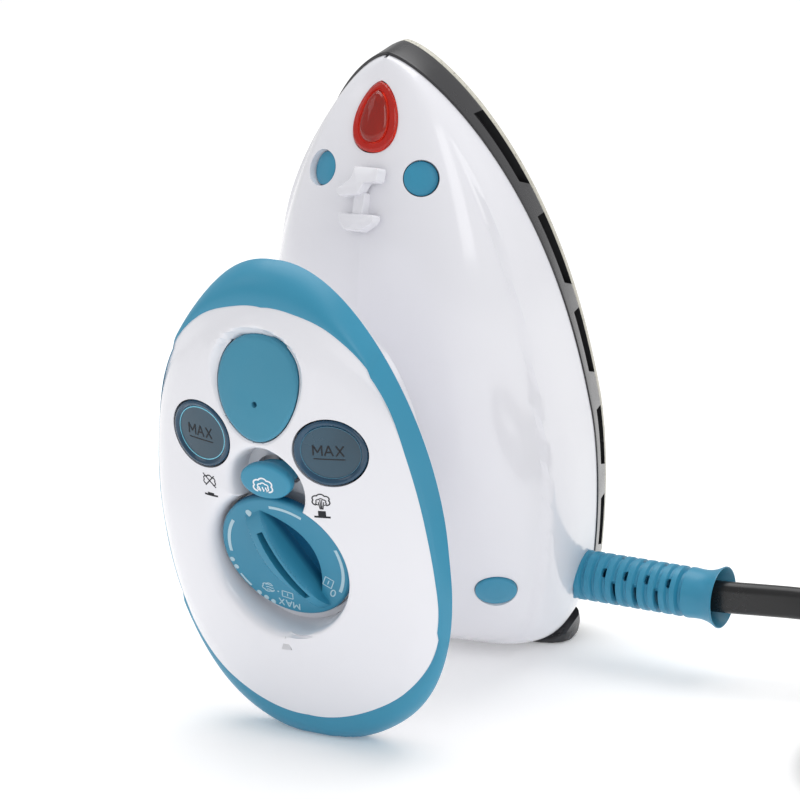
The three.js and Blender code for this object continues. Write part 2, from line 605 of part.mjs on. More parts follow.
function makeTank() {
  const ring = (inset, z) => eggRing(29.5 - inset, 44.6 - inset, z, 1, 28);
  const behind = (y) => solid(box(90, 80, 40, 0, y - 40, 0));
  const pot = loft([ring(14, -8.4), ring(5, -6.2), ring(0, -2), ring(0, 2.4)]);
  const inside = loft([ring(15, -7.1), ring(6.5, -5), ring(1.6, -1.2), ring(1.6, 1)]);
  const column = solid(round(4.2, -2.3, 2, 0, BUTTON_AT, 20));
  let tank = solid(pot).subtract(behind(-0.5));
  let water = solid(inside).subtract(behind(1.1)).subtract(column);
  for (const [, side] of SIDES) {
    const turret = oval(6.4, 5.8, 1, 5.6, side * WINDOW_SIDE, WINDOW_AT, 24);
    tank = tank.add(solid(turret));
    water = water.add(solid(oval(5, 4.4, 0, 4.4, side * WINDOW_SIDE, WINDOW_AT, 20)));
  }
  tank = tank.add(solid(round(5.6, 1, 6.6, 0, FILL_AT - 2, 20)));
  water = water.add(solid(round(4.6, 0, 12, 0, FILL_AT - 2, 20)));
  tank = tank.subtract(water);
  tank = tank.subtract(solid(round(3.1, -1, 8, 0, BUTTON_AT, 20)));
  tank = tank.subtract(solid(round(1.3, -4, 8, 0, BUTTON_AT, 12)));
  tank = tank.subtract(solid(round(2.6, -12, -5, 0, BUTTON_AT, 16)));
  piece("water_tank", tank, TANK_BLUE, grip);
  for (const [hand, side] of SIDES) {
    const pane = solid(oval(8, 7.2, 6.2, 16, side * WINDOW_SIDE, WINDOW_AT, 24));
    const lens = pane.intersect(solid(crownSolid(-0.3, 0))).subtract(solid(crownSolid(2.4, -12)));
    piece(`level_window_${hand}`, lens, TANK_BLUE, grip);
  }
}

// Rubber lid over the fill port, with a short stopper below it.
function makeFillCap() {
  const lid = solid(ovalThrough(9.8, 11.2, 0, FILL_AT)).intersect(solid(crownSolid(-0.2, 0)));
  let cap = lid.subtract(solid(crownSolid(2.3, -12)));
  cap = cap.add(solid(round(3.6, 5.2, 10.2, 0, FILL_AT - 2, 20)));
  cap = cap.subtract(solid(round(0.5, 9, 16, 0, FILL_AT - 3.4, 8)));
  piece("fill_cap", cap, RUBBER, grip);
}

// ---- steam valve ----
// Everything here shares the valve's axis, upright in the grip's frame.
function makeValve() {
  const onAxis = (geometry) => geometry.translate(0, BUTTON_AT, 0);
  const seat = [
    [1, -12.6], [2.2, -12.6], [2.2, -6.8], [4, -6.8], [4, -5.7], [1.5, -5.7], [1, -6.4], [1, -12.6],
  ];
  piece("valve_seat", onAxis(turned(seat, 16)), BRASS, grip);
  const needle = [[0, -3.6], [0.9, -2.6], [0.9, 6], [0, 6]];
  piece("valve_rod", onAxis(turned(needle, 12)), BRASS, grip);
  const gland = [[1.1, -0.7], [2.8, -0.7], [2.8, 0.3], [1.1, 0.3], [1.1, -0.7]];
  piece("rod_gland", onAxis(turned(gland, 16)), RUBBER, grip);
  const head = solid(oval(6.2, 4, BUTTON_TOP - 2.3, BUTTON_TOP, 0, 0, 32));
  const button = head.add(solid(round(3.2, 6.3, BUTTON_TOP - 2, 0, 0, 24)));
  piece("steam_button", onAxis(shapeOf(button)), BLUE, grip);
  const spring = [];
  const [turns, perTurn, radius] = [3, 8, 1.9];
  for (let i = 0; i <= turns * perTurn; i++) {
    const angle = (i / perTurn) * 2 * Math.PI;
    const height = mix(0.95, 5.6, i / (turns * perTurn));
    spring.push(vec(radius * Math.cos(angle), radius * Math.sin(angle), height));
  }
  piece("valve_spring", onAxis(rod(spring, 0.32, turns * perTurn, 4)), STEEL, grip);
}

// Silicone tube from the valve's outlet down the neck to the steam chamber's inlet.
function makeDripTube() {
  const outlet = (z) => vec(0, BUTTON_AT, z).applyMatrix4(gripFrame);
  const path = [outlet(-13), outlet(-16), vec(0, INLET_AT, 52), vec(0, INLET_AT, 30), vec(0, INLET_AT, 12.2)];
  const bore = [outlet(-12), ...path.slice(1, -1), vec(0, INLET_AT, 11)];
  const tube = solid(rod(path, 2.4, 8)).subtract(solid(rod(bore, 1.5, 8)));
  piece("drip_tube", tube, SILICONE);
}

// ---- temperature control ----
// Lens-shaped finger grip that crosses the dial, highest in the middle.
function dialGrip(halfLength, halfWidth, low, high) {
  const rings = [];
  for (const [part, z] of [[1, low], [1, mix(low, high, 0.35)], [0.86, mix(low, high, 0.8)], [0.7, high]]) {
    const ring = [];
    for (let i = 0; i < 24; i++) {
      const angle = (2 * Math.PI * i) / 24;
      const [c, s] = [Math.cos(angle), Math.sin(angle)];
      ring.push(vec(halfLength * part * c, halfWidth * part * s * Math.abs(s), z));
    }
    rings.push(ring.map((p) => vec(p.x, p.y + (Math.abs(p.y) < 1e-6 ? 0 : Math.sign(p.y) * 0.3), p.z)));
  }
  return loft(rings);
}

function makeDial() {
  const disc = solid(turned([
    [0, 87.3], [14.8, 87.3], [DIAL_RADIUS, 88], [DIAL_RADIUS, DIAL_TOP - 0.3],
    [DIAL_RADIUS - 0.5, DIAL_TOP], [0, DIAL_TOP + 0.2],
  ], 32));
  const gripAngle = THREE.MathUtils.degToRad(122);
  const bar = dialGrip(13.6, 4.4, DIAL_TOP - 0.5, DIAL_TOP + 4.6).rotateZ(gripAngle);
  const slot = box(17, 1.1, 3, 0, 0, DIAL_TOP + 4.2).rotateZ(gripAngle);
  const dial = disc.add(solid(bar)).subtract(solid(slot));
  piece("temperature_dial", shapeOf(dial).translate(0, DIAL_AT, 0), BLUE);
  const shaft = [
    [0, 20.3], [2.2, 20.3], [2.2, 83.7], [3.1, 83.7], [3.1, 87], [0, 87],
  ];
  piece("dial_shaft", turned(shaft, 16).translate(0, DIAL_AT, 0), CERAMIC_WHITE);
}

// ---- wiring ----
function makeWiring() {
  const block = solid(box(16, 8, 7, 0, 22, 20)).subtract(solid(round(1.6, 10, 30, 0, 22, 12)));
  piece("terminal_block", block, CERAMIC_WHITE);
  const clamp = solid(box(5, 11, 2.4, 16.5, RELIEF_AT.y, 23.4));
  piece("cord_clamp", clamp, BLACK);
  const screw = [[0, -7], [1.3, -6.6], [1.3, 1.8], [2.5, 1.8], [2.5, 3.4], [0, 3.4]];
  piece("terminal_screw", turned(screw, 12).translate(0, 22, 22.1), STEEL);
  const live = [vec(-6, 26.8, 20), vec(-8, 34, 19), vec(-6, 50, 18.5), vec(-3, 57, 15.8)];
  piece("lead_live", rod(live, 0.9, 12), RED_LENS);
  const neutral = [vec(-9.2, 20, 21), vec(-11.5, 15, 22), vec(-13, 9, 21), vec(-13, 5.4, 18)];
  piece("lead_neutral", rod(neutral, 0.9, 12), WHITE);
}

// ---- cord ----
function makeStrainRelief() {
  const profileOf = [[0, RELIEF_START - 3], [5.4, RELIEF_START - 3]];
  const [ribs, from, pitch] = [6, RELIEF_START + 1, 3.6];
  for (let i = 0; i < ribs; i++) {
    const x = from + i * pitch;
    profileOf.push([5.2, x], [5.2, x + 1], [5.9, x + 1.4], [5.9, x + 3.1]);
  }
  profileOf.push([5.1, 49.6], [5.2, 50.4], [5.9, 51], [5.6, 56.5], [6.2, 60.5], [7.2, RELIEF_END], [0, RELIEF_END]);
  const relief = solid(turned(profileOf, 12).rotateY(Math.PI / 2));
  const mouth = turned([[0, 56], [4.3, 56], [4.6, 60], [6.4, 64], [0, 64]], 12).rotateY(Math.PI / 2);
  const bodySide = bodyDome(-GAP, SKIRT_TOP).translate(0, -RELIEF_AT.y, -RELIEF_AT.z);
  let sleeve = relief.subtract(solid(mouth)).subtract(solid(bodySide));
  sleeve = sleeve.add(solid(round(4.8, RELIEF_START - 7, 40, 0, 0, 16).rotateY(Math.PI / 2)));
  piece("strain_relief", shapeOf(sleeve).translate(0, RELIEF_AT.y, RELIEF_AT.z), BLUE);
}

// Flat cord section with rounded edges, its width along the first axis.
function cordSection() {
  const [w, t] = [CORD_WIDTH / 2, CORD_THICK / 2];
  return polygon([
    [w - t, t], [w - 0.4, t * 0.6], [w, 0], [w - 0.4, -t * 0.6], [w - t, -t],
    [t - w, -t], [0.4 - w, -t * 0.6], [-w, 0], [0.4 - w, t * 0.6], [t - w, t],
  ]);
}

// Out of the strain relief, level at first and then down towards the coil's upper layer.
const CORD_ROUTE = [
  vec(57, 38.7, 19.65), vec(61, 38.9, 19.65), vec(66, 39.8, 19.65), vec(71, 41.3, 19.6),
  vec(80, 44.6, 19.2), vec(89, 47.8, 18.2), vec(98, 51.1, 16.7), vec(110, 55.4, 14.9),
];
// Out of the coil's lower layer and round to the plug.
const TAIL_ROUTE = [
  vec(116.9, 61.1, 4.65), vec(120.4, 67.1, 4.7), vec(124.6, 72.7, 5), vec(129.8, 77.4, 5.5),
  vec(136, 80.8, 6.1), vec(142.5, 82.6, 6.4),
];

function makeCord() {
  for (const [name, route] of [["power_cord", CORD_ROUTE], ["cord_tail", TAIL_ROUTE]]) {
    const path = new THREE.CatmullRomCurve3(route);
    const steps = Math.ceil(path.getLength() / (2 * CORD_THICK));
    const tube = new THREE.ExtrudeGeometry(cordSection(), { steps, extrudePath: path, bevelEnabled: false });
    piece(name, tube, CORD_BLACK, group);
  }
  const { inner, outer, low, high } = COIL;
  const ring = turned([[inner, low], [outer, low], [outer, high], [inner, high], [inner, low]], 40);
  piece("cord_coil", ring.translate(COIL.x, COIL.y, 0), CORD_BLACK, group);
}

// Strap round one place of the coil.
function makeCordTie() {
  const inner = COIL.inner - 0.8; // clear of the ring's curve across the strap's width
  const frame = (margin, foot) => [
    [inner - margin, foot], [COIL.outer + margin, foot],
    [COIL.outer + margin, COIL.high + margin], [inner - margin, COIL.high + margin],
  ];
  const shape = polygon(frame(COIL.low, 0));
  shape.holes.push(new THREE.Path(frame(GAP, COIL.low - GAP).map(([r, z]) => new THREE.Vector2(r, z))));
  const strap = prism(shape, -TIE_WIDTH / 2, TIE_WIDTH / 2).rotateX(Math.PI / 2).rotateZ(TIE_AT);
  piece("cord_tie", strap.translate(COIL.x, COIL.y, 0), CORD_BLACK, group);
}

// Flat two-blade plug that lies on its broad side, the cord entering at its origin along X.
function makePlug() {
  const place = (geometry) => geometry.rotateZ(PLUG_TURN).translate(...PLUG_AT);
  const section = (x, halfY, halfZ) => {
    const bevel = halfZ * 0.45;
    const corners = [[halfY, halfZ - bevel], [halfY - bevel, halfZ], [bevel - halfY, halfZ], [-halfY, halfZ - bevel]];
    return [...corners, ...corners.map(([y, z]) => [-y, -z])].map(([y, z]) => vec(x, y, z));
  };
  const body = loft([
    section(GAP, 4.6, 3), section(11, 5, 3.4), section(13, 8.6, 5.4), section(20, 11, 6.2), section(30, 11, 6.2),
  ]);
  piece("plug_body", place(body), CORD_BLACK, group);
  for (const [hand, side, width] of [["left", 1, 7.9], ["right", -1, 6.3]]) {
    const blade = box(16, 1.5, width, 30 + GAP + 8, (side * BLADE_SPACING) / 2, 0);
    piece(`plug_blade_${hand}`, place(blade), BRASS, group);
  }
}

makeSoleplate();
makeSteamChamber();
makeThermostat();
makeSkirt();
makeHeelRest();
makeBody();
makeBodyTrim();
makeCleat();
makeHandleBase();
makeRimBand();
makeFacePlate();
makeTank();
makeFillCap();
makeValve();
makeDial();
makeDripTube();
makeWiring();
makeStrainRelief();
makeCord();
makeCordTie();
makePlug();

export default group;
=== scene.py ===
"""Travel steam iron parked on its heel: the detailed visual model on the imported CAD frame.

Lengths in the shape functions are millimetres in the iron's own frame (x sideways, v from heel to nose,
w up from the ironing face) or in the grip's frame, as in the CAD source. Meshes are stored in metres.
"""
import json
import math

import bmesh
import bpy
import numpy as np
from mathutils import Matrix, Vector
from mathutils.geometry import delaunay_2d_cdt


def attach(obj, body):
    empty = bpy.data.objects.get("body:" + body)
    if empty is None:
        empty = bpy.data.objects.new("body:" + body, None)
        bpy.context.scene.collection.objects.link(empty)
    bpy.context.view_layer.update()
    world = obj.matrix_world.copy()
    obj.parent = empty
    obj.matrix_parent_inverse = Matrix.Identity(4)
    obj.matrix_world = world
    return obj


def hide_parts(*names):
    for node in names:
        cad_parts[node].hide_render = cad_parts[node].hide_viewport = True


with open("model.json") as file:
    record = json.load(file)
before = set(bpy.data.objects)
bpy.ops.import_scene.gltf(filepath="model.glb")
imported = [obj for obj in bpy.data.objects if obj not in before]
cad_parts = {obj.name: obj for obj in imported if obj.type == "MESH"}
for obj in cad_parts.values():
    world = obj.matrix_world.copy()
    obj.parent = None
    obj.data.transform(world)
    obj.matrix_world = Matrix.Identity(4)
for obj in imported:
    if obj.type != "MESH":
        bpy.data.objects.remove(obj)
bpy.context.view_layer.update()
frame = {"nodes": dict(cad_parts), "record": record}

# ---------------------------------------------------------------- driving sizes
MM = 0.001
LEAN = math.radians(22.1)
IRON_AT = Vector((0, 59.8, 11.5))
GRIP_AT = Vector((0, 79.84, 80.43))
GRIP_TILT = math.radians(-11.6)

HEEL, NOSE, WIDEST_AT, HALF_WIDTH = -3, 148.3, 58, 31.7
SKIRT_TOP, SKIRT_FLARE = 10, 2.1
BODY_HEEL, BODY_NOSE, BODY_WALL, BODY_BOX = -2.6, 149.6, 2, 3.4
HEEL_ROUND_FROM, HEEL_ROUND, RIDGE_SLOPE, SHOULDER_STEP = 30, 2.6, 0.085, 1.15
NECK_AT = 74
GRIP_HALF_WIDTH, GRIP_HALF_LENGTH, GRIP_EGG = 36.75, 57.2, 0.15
RIM_HALF_WIDTH, RIM_HALF_LENGTH, RIM_SHIFT = 36.05, 57.0, -0.7
KINK_FRONT, KINK_REAR, KINK_STEP = 47, 121, 0.012
FACE_HALF_WIDTH, FACE_HALF_LENGTH, FACE_SHIFT = 34.6, 50, -0.9
FACE_CROWN, FACE_SIDE_DROP, FACE_END_DROP = 12.9, 8.7, 7.2
DIAL_AT, DIAL_RADIUS, DIAL_TOP, WELL_FLOOR, WELL_RADIUS = 71.6, 15.6, 89.9, 86.7, 16.0
BUTTON_AT, BUTTON_TOP, BUTTON_HALF_WIDTH, BUTTON_HALF_LENGTH = 10, 12.2, 6.2, 4.0
RECESS_AT, RECESS_RADIUS, RECESS_FLOOR = (0.35, 8.1), 8.6, 5.6
BORE_HALF_WIDTH, BORE_HALF_LENGTH, BORE_DEPTH = 5.6, 3.4, 2.8
FILL_AT, WINDOW_AT, WINDOW_SIDE = 30.3, 18.3, 15.9
PORT_AT, PORT_RADIUS = FILL_AT - 2, 5.1
CAP_AT, CAP_HALF_WIDTH, CAP_HALF_LENGTH, CAP_EGG = (-0.8, 30.5), 9.8, 11.2, 0.13
CAP_SUNK, VENT_AT = 1.45, (-0.8, 27.6)
WINDOW_HALF_WIDTH, WINDOW_HALF_LENGTH, PANE_SUNK = 8.0, 7.3, 0.5
RELIEF_AT, RELIEF_START, RELIEF_RADIUS = (15.5, 16.5), 26, 5.88
CORD_WIDTH, CORD_THICK, CORD_LENGTH = 7.5, 4.2, 2400

IRON = Matrix.Translation(IRON_AT) @ Matrix.Rotation(math.pi / 2 + LEAN, 4, "X")
GRIP = IRON @ Matrix.Translation(GRIP_AT) @ Matrix.Rotation(GRIP_TILT, 4, "X")
DIAL_FRAME = IRON @ Matrix.Translation((0, DIAL_AT, 0))
GRIP_IN_IRON, IRON_IN_GRIP = IRON.inverted() @ GRIP, GRIP.inverted() @ IRON
WORLD = Matrix.Identity(4)


# ---------------------------------------------------------------- mesh helpers
def profile(pairs):
    """Smooth curve through [x, y] pairs, as a function of x."""
    xs, ys = (np.array(c, float) for c in zip(*pairs))
    slopes = np.gradient(ys, xs)

    def at(x):
        x = np.clip(np.asarray(x, float), xs[0], xs[-1])
        i = np.clip(np.searchsorted(xs, x) - 1, 0, len(xs) - 2)
        h = xs[i + 1] - xs[i]
        t = (x - xs[i]) / h
        a, b = 2 * t**3 - 3 * t**2 + 1, t**3 - 2 * t**2 + t
        return a * ys[i] + b * h * slopes[i] + (1 - a) * ys[i + 1] + (t**3 - t**2) * h * slopes[i + 1]

    return at


def smooth(low, high, x):
    """Rises smoothly from 0 at low to 1 at high."""
    t = np.clip((np.asarray(x, float) - low) / (high - low), 0, 1)
    return t * t * (3 - 2 * t)


def mesh_object(name, points, faces, place=IRON, angle=35):
    """Object from points in millimetres in a frame, stored in metres in the row frame."""
    data = bpy.data.meshes.new(name)
    data.from_pydata([MM * (place @ Vector(p)) for p in points], [], faces)
    bm = bmesh.new()
    bm.from_mesh(data)
    bmesh.ops.delete(bm, geom=[v for v in bm.verts if not v.link_faces], context="VERTS")
    bmesh.ops.remove_doubles(bm, verts=bm.verts, dist=1e-7)
    bmesh.ops.recalc_face_normals(bm, faces=bm.faces)
    bm.to_mesh(data)
    bm.free()
    piece = bpy.data.objects.new(name, data)
    bpy.context.scene.collection.objects.link(piece)
    shade(piece, angle)
    return piece


def shade(piece, angle):
    piece.data.polygons.foreach_set("use_smooth", [True] * len(piece.data.polygons))
    piece.data.set_sharp_from_angle(angle=math.radians(angle))


def skin(rings, caps=True):
    """Faces over a stack of equally long closed rings, with a fan at each end if it is capped."""
    rows, count = len(rings), len(rings[0])
    points = [tuple(p) for ring in rings for p in ring]
    faces = []
    for low in range(0, (rows - 1) * count, count):
        for i in range(count):
            j = (i + 1) % count
            faces.append((low + i, low + j, low + count + j, low + count + i))
    if caps:
        for row in (0, rows - 1):
            points.append(tuple(np.mean(rings[row], axis=0)))
            start, middle = row * count, len(points) - 1
            faces += [(start + i, start + (i + 1) % count, middle) for i in range(count)]
    return points, faces


def loft(name, rings, place=IRON, angle=35):
    """Closed piece over a stack of rings."""
    return mesh_object(name, *skin(rings), place, angle)


def turns(count):
    """Angles of evenly spaced points round a circle."""
    return [2 * math.pi * k / count for k in range(count)]


def ellipse(half_x, half_y, count=64, centre=(0, 0)):
    """Points round an ellipse."""
    return [(centre[0] + half_x * math.cos(a), centre[1] + half_y * math.sin(a)) for a in turns(count)]


def circle(radius, count=64, centre=(0, 0)):
    return ellipse(radius, radius, count, centre)


def lifted(outline, height):
    """Ring at a height from a flat outline."""
    return [(x, y, height) for x, y in outline]


def stack(name, outline, levels, place, angle=35):
    """Loft of one family of outlines at (size, height) levels."""
    return loft(name, [lifted(outline(size), z) for size, z in levels], place, angle)


def turned_rings(pairs, sides):
    """Rings about the third axis from (radius, height) pairs."""
    return [lifted(circle(max(r, 1e-4), sides), z) for r, z in pairs]


def lathe(name, pairs, sides=64, place=IRON, angle=35):
    """Closed piece turned about the frame's third axis."""
    return loft(name, turned_rings(pairs, sides), place, angle)


def rounded(pairs, radius, steps=5):
    """A line of (r, z) pairs with its inner corners rounded."""
    out = [pairs[0]]
    for before, here, after in zip(pairs, pairs[1:], pairs[2:]):
        a, b, c = (np.array(p, float) for p in (before, here, after))
        back, ahead = np.linalg.norm(a - b), np.linalg.norm(c - b)
        size = min(radius, 0.45 * back, 0.45 * ahead)
        start, end = b + (a - b) / back * size, b + (c - b) / ahead * size
        for t in np.linspace(0, 1, steps + 1):
            out.append(tuple((1 - t) ** 2 * start + 2 * t * (1 - t) * b + t * t * end))
    return out + [pairs[-1]]


def aim(place, direction):
    """Frame at a place whose third axis points in a direction, as the CAD source turns it."""
    turn = Vector((0, 0, 1)).rotation_difference(Vector(direction).normalized())
    return Matrix.Translation(Vector(place)) @ turn.to_matrix().to_4x4()


def finish_piece(piece, body, slot, *nodes, look=None):
    """Puts a piece on its body with the material of its slot or of its look, in place of the CAD nodes that it
    stands for.
    """
    piece.data.materials.clear()
    piece.data.materials.append(MATERIALS[look or slot])
    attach(piece, body)
    if nodes:
        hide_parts(*nodes)


# ---------------------------------------------------------------- camera and light
def make_camera():
    data = bpy.data.cameras.new("camera")
    data.lens, data.sensor_width = 162, 36
    data.clip_start, data.clip_end = 0.05, 20
    camera = bpy.data.objects.new("camera", data)
    target = Vector((5.10, -9.25, 70.02)) * MM
    camera.location = Vector((384.0, -681.3, 276.1)) * MM
    camera.rotation_euler = (target - camera.location).to_track_quat("-Z", "Y").to_euler()
    bpy.context.scene.collection.objects.link(camera)
    bpy.context.scene.camera = camera


def area_light(name, place, target, size, power):
    data = bpy.data.lights.new(name, "AREA")
    data.shape, data.size, data.size_y = "RECTANGLE", size[0], size[1]
    data.energy = power
    light = bpy.data.objects.new(name, data)
    light.location = place
    light.rotation_euler = (Vector(target) - Vector(place)).to_track_quat("-Z", "Y").to_euler()
    bpy.context.scene.collection.objects.link(light)


def make_studio():
    """White surroundings, three soft lights and a plain floor."""
    bpy.context.scene.view_settings.view_transform = "Standard"
    world = bpy.data.worlds.new("studio")
    bpy.context.scene.world = world
    world.use_nodes = True
    background = world.node_tree.nodes["Background"]
    background.inputs["Color"].default_value = (1, 1, 1, 1)
    background.inputs["Strength"].default_value = 0.54
    area_light("key", (-0.9, -0.7, 0.9), (0, 0, 0.07), (0.6, 0.6), 1.0)
    area_light("fill", (1.0, -0.35, 0.6), (0, 0, 0.07), (0.5, 0.7), 2.2)
    area_light("top", (-0.1, 0.3, 1.3), (0, 0, 0.05), (1.5, 1.2), 13)
    corners = [(-3, -3, 0), (3, -3, 0), (3, 3, 0), (-3, 3, 0)]
    floor = bpy.data.objects.new("floor", bpy.data.meshes.new("floor"))
    floor.data.from_pydata(corners, [], [(0, 1, 2, 3)])
    floor.location.z = -0.0002
    floor.data.materials.append(floor_material())
    bpy.context.scene.collection.objects.link(floor)


# ---------------------------------------------------------------- materials
def new_material(name):
    material = bpy.data.materials.new(name)
    material.use_nodes = True
    nodes = material.node_tree.nodes
    return material, nodes, material.node_tree.links, nodes["Principled BSDF"]


def noise(nodes, links, scale, detail=4, roughness=0.5, stretch=None):
    """Noise in object space, scale in patterns per metre."""
    where = nodes.new("ShaderNodeTexCoord")
    texture = nodes.new("ShaderNodeTexNoise")
    texture.inputs["Scale"].default_value = scale
    texture.inputs["Detail"].default_value = detail
    texture.inputs["Roughness"].default_value = roughness
    source = where.outputs["Object"]
    if stretch:
        mapping = nodes.new("ShaderNodeMapping")
        mapping.inputs["Scale"].default_value = stretch
        links.new(source, mapping.inputs["Vector"])
        source = mapping.outputs["Vector"]
    links.new(source, texture.inputs["Vector"])
    return texture.outputs["Fac"]


def ramp(nodes, links, source, stops):
    """Colour from a value, through (position, colour) stops."""
    node = nodes.new("ShaderNodeValToRGB")
    elements = node.color_ramp.elements
    while len(elements) < len(stops):
        elements.new(0.5)
    for element, (at, colour) in zip(elements, stops):
        element.position = at
        element.color = (*colour, 1)
    links.new(source, node.inputs["Fac"])
    return node.outputs["Color"]


def add_bump(nodes, links, shader, height, strength, distance):
    bump = nodes.new("ShaderNodeBump")
    bump.inputs["Strength"].default_value = strength
    bump.inputs["Distance"].default_value = distance
    links.new(height, bump.inputs["Height"])
    links.new(bump.outputs["Normal"], shader.inputs["Normal"])


def moulded(name, colour, roughness, spread=0.04, grain=0.05, grain_scale=2600, coat=0.0, sheen=0.0):
    """Injection-moulded plastic or rubber: faint cloudy tone, fine surface grain and uneven gloss."""
    material, nodes, links, shader = new_material(name)
    tone = noise(nodes, links, 22, 3)
    dark = tuple(c * (1 - spread) for c in colour)
    light = tuple(min(1, c * (1 + spread)) for c in colour)
    links.new(ramp(nodes, links, tone, [(0.3, dark), (0.7, light)]), shader.inputs["Base Color"])
    wear = noise(nodes, links, 90, 5, 0.6)
    low, high = (roughness * 0.88,) * 3, (min(1, roughness * 1.15),) * 3
    links.new(ramp(nodes, links, wear, [(0.35, low), (0.65, high)]), shader.inputs["Roughness"])
    add_bump(nodes, links, shader, noise(nodes, links, grain_scale, 2), grain, 0.00005)
    shader.inputs["Coat Weight"].default_value = coat
    shader.inputs["Coat Roughness"].default_value = 0.08
    shader.inputs["Sheen Weight"].default_value = sheen
    return material


def metal(name, colour, roughness, stretch=(1, 1, 1)):
    """Bare metal with a fine grain, drawn out one way where it is brushed."""
    material, nodes, links, shader = new_material(name)
    shader.inputs["Metallic"].default_value = 1.0
    grain = noise(nodes, links, 900, 3, 0.6, stretch)
    dark, light = tuple(c * 0.8 for c in colour), tuple(min(1, c * 1.12) for c in colour)
    links.new(ramp(nodes, links, grain, [(0.3, dark), (0.7, light)]), shader.inputs["Base Color"])
    low, high = (roughness * 0.75,) * 3, (roughness * 1.3,) * 3
    links.new(ramp(nodes, links, grain, [(0.3, low), (0.7, high)]), shader.inputs["Roughness"])
    add_bump(nodes, links, shader, grain, 0.08, 0.00005)
    return material


def clear(name, colour, roughness, tint=0.25):
    """Tinted see-through plastic or glass with faint flow marks."""
    material, nodes, links, shader = new_material(name)
    flow = noise(nodes, links, 60, 3)
    dark = tuple(c * (1 - tint) for c in colour)
    links.new(ramp(nodes, links, flow, [(0.3, dark), (0.7, colour)]), shader.inputs["Base Color"])
    shader.inputs["Transmission Weight"].default_value = 1.0
    shader.inputs["IOR"].default_value = 1.49
    low, high = (roughness * 0.7,) * 3, (roughness * 1.4 + 0.01,) * 3
    links.new(ramp(nodes, links, flow, [(0.3, low), (0.7, high)]), shader.inputs["Roughness"])
    return material


def lens_material():
    """Translucent red lens with a faint painted glow that brightens it."""
    material = clear("lens_red", (0.90, 0.06, 0.03), 0.03, 0.3)
    shader = material.node_tree.nodes["Principled BSDF"]
    shader.inputs["Transmission Weight"].default_value = 0.9
    # painted glow: a weak red emission brightens the lens
    shader.inputs["Emission Color"].default_value = (0.85, 0.06, 0.03, 1)
    shader.inputs["Emission Strength"].default_value = 0.07
    return material


def ceramic_material():
    """Cream ceramic coating with a fine speckle."""
    material, nodes, links, shader = new_material("sole_ceramic")
    speckle = noise(nodes, links, 1500, 2, 0.7)
    stops = [(0.30, (0.30, 0.29, 0.25)), (0.42, (0.60, 0.58, 0.50)), (0.8, (0.68, 0.66, 0.58))]
    links.new(ramp(nodes, links, speckle, stops), shader.inputs["Base Color"])
    shader.inputs["Roughness"].default_value = 0.38
    add_bump(nodes, links, shader, noise(nodes, links, 700, 3), 0.06, 0.00005)
    return material


def floor_material():
    """Pale studio floor, lit a little from within so that it stays white."""
    material, nodes, links, shader = new_material("floor")
    tone = noise(nodes, links, 3, 2)
    stops = [(0.3, (0.95, 0.95, 0.952)), (0.7, (0.97, 0.97, 0.972))]
    links.new(ramp(nodes, links, tone, stops), shader.inputs["Base Color"])
    shader.inputs["Roughness"].default_value = 0.6
    shader.inputs["Emission Color"].default_value = (1, 1, 1, 1)
    shader.inputs["Emission Strength"].default_value = 0.17
    return material


def dial_material_with_painted_shade():
    """Moulded blue with painted shade: deeper and darker down in the finger scoop."""
    material = moulded("dial_blue_painted_shade", (0.028, 0.240, 0.385), 0.42, 0.05, 0.06)
    nodes, links = material.node_tree.nodes, material.node_tree.links
    shader = nodes["Principled BSDF"]
    surface = shader.inputs["Base Color"].links[0].from_socket
    axis = (IRON.to_3x3() @ Vector((0, 0, 1))).normalized()
    where = nodes.new("ShaderNodeTexCoord")
    height = nodes.new("ShaderNodeVectorMath")
    height.operation = "DOT_PRODUCT"
    height.inputs[1].default_value = axis
    links.new(where.outputs["Object"], height.inputs[0])
    disc = axis.dot(DIAL_FRAME @ Vector((0, 0, DIAL_TOP))) * MM
    share = nodes.new("ShaderNodeMapRange")
    share.inputs["From Min"].default_value = disc - 1.6 * MM
    share.inputs["From Max"].default_value = disc - 0.1 * MM
    links.new(height.outputs["Value"], share.inputs["Value"])
    # painted shade: below the disc's top the colour mixes towards a dark blue, darkest down in the scoop
    painted_shade_mix = nodes.new("ShaderNodeMix")
    painted_shade_mix.data_type = "RGBA"
    painted_shade_mix.inputs["A"].default_value = (0.0, 0.085, 0.185, 1)
    links.new(share.outputs["Result"], painted_shade_mix.inputs["Factor"])
    links.new(surface, painted_shade_mix.inputs["B"])
    links.new(painted_shade_mix.outputs["Result"], shader.inputs["Base Color"])
    return material


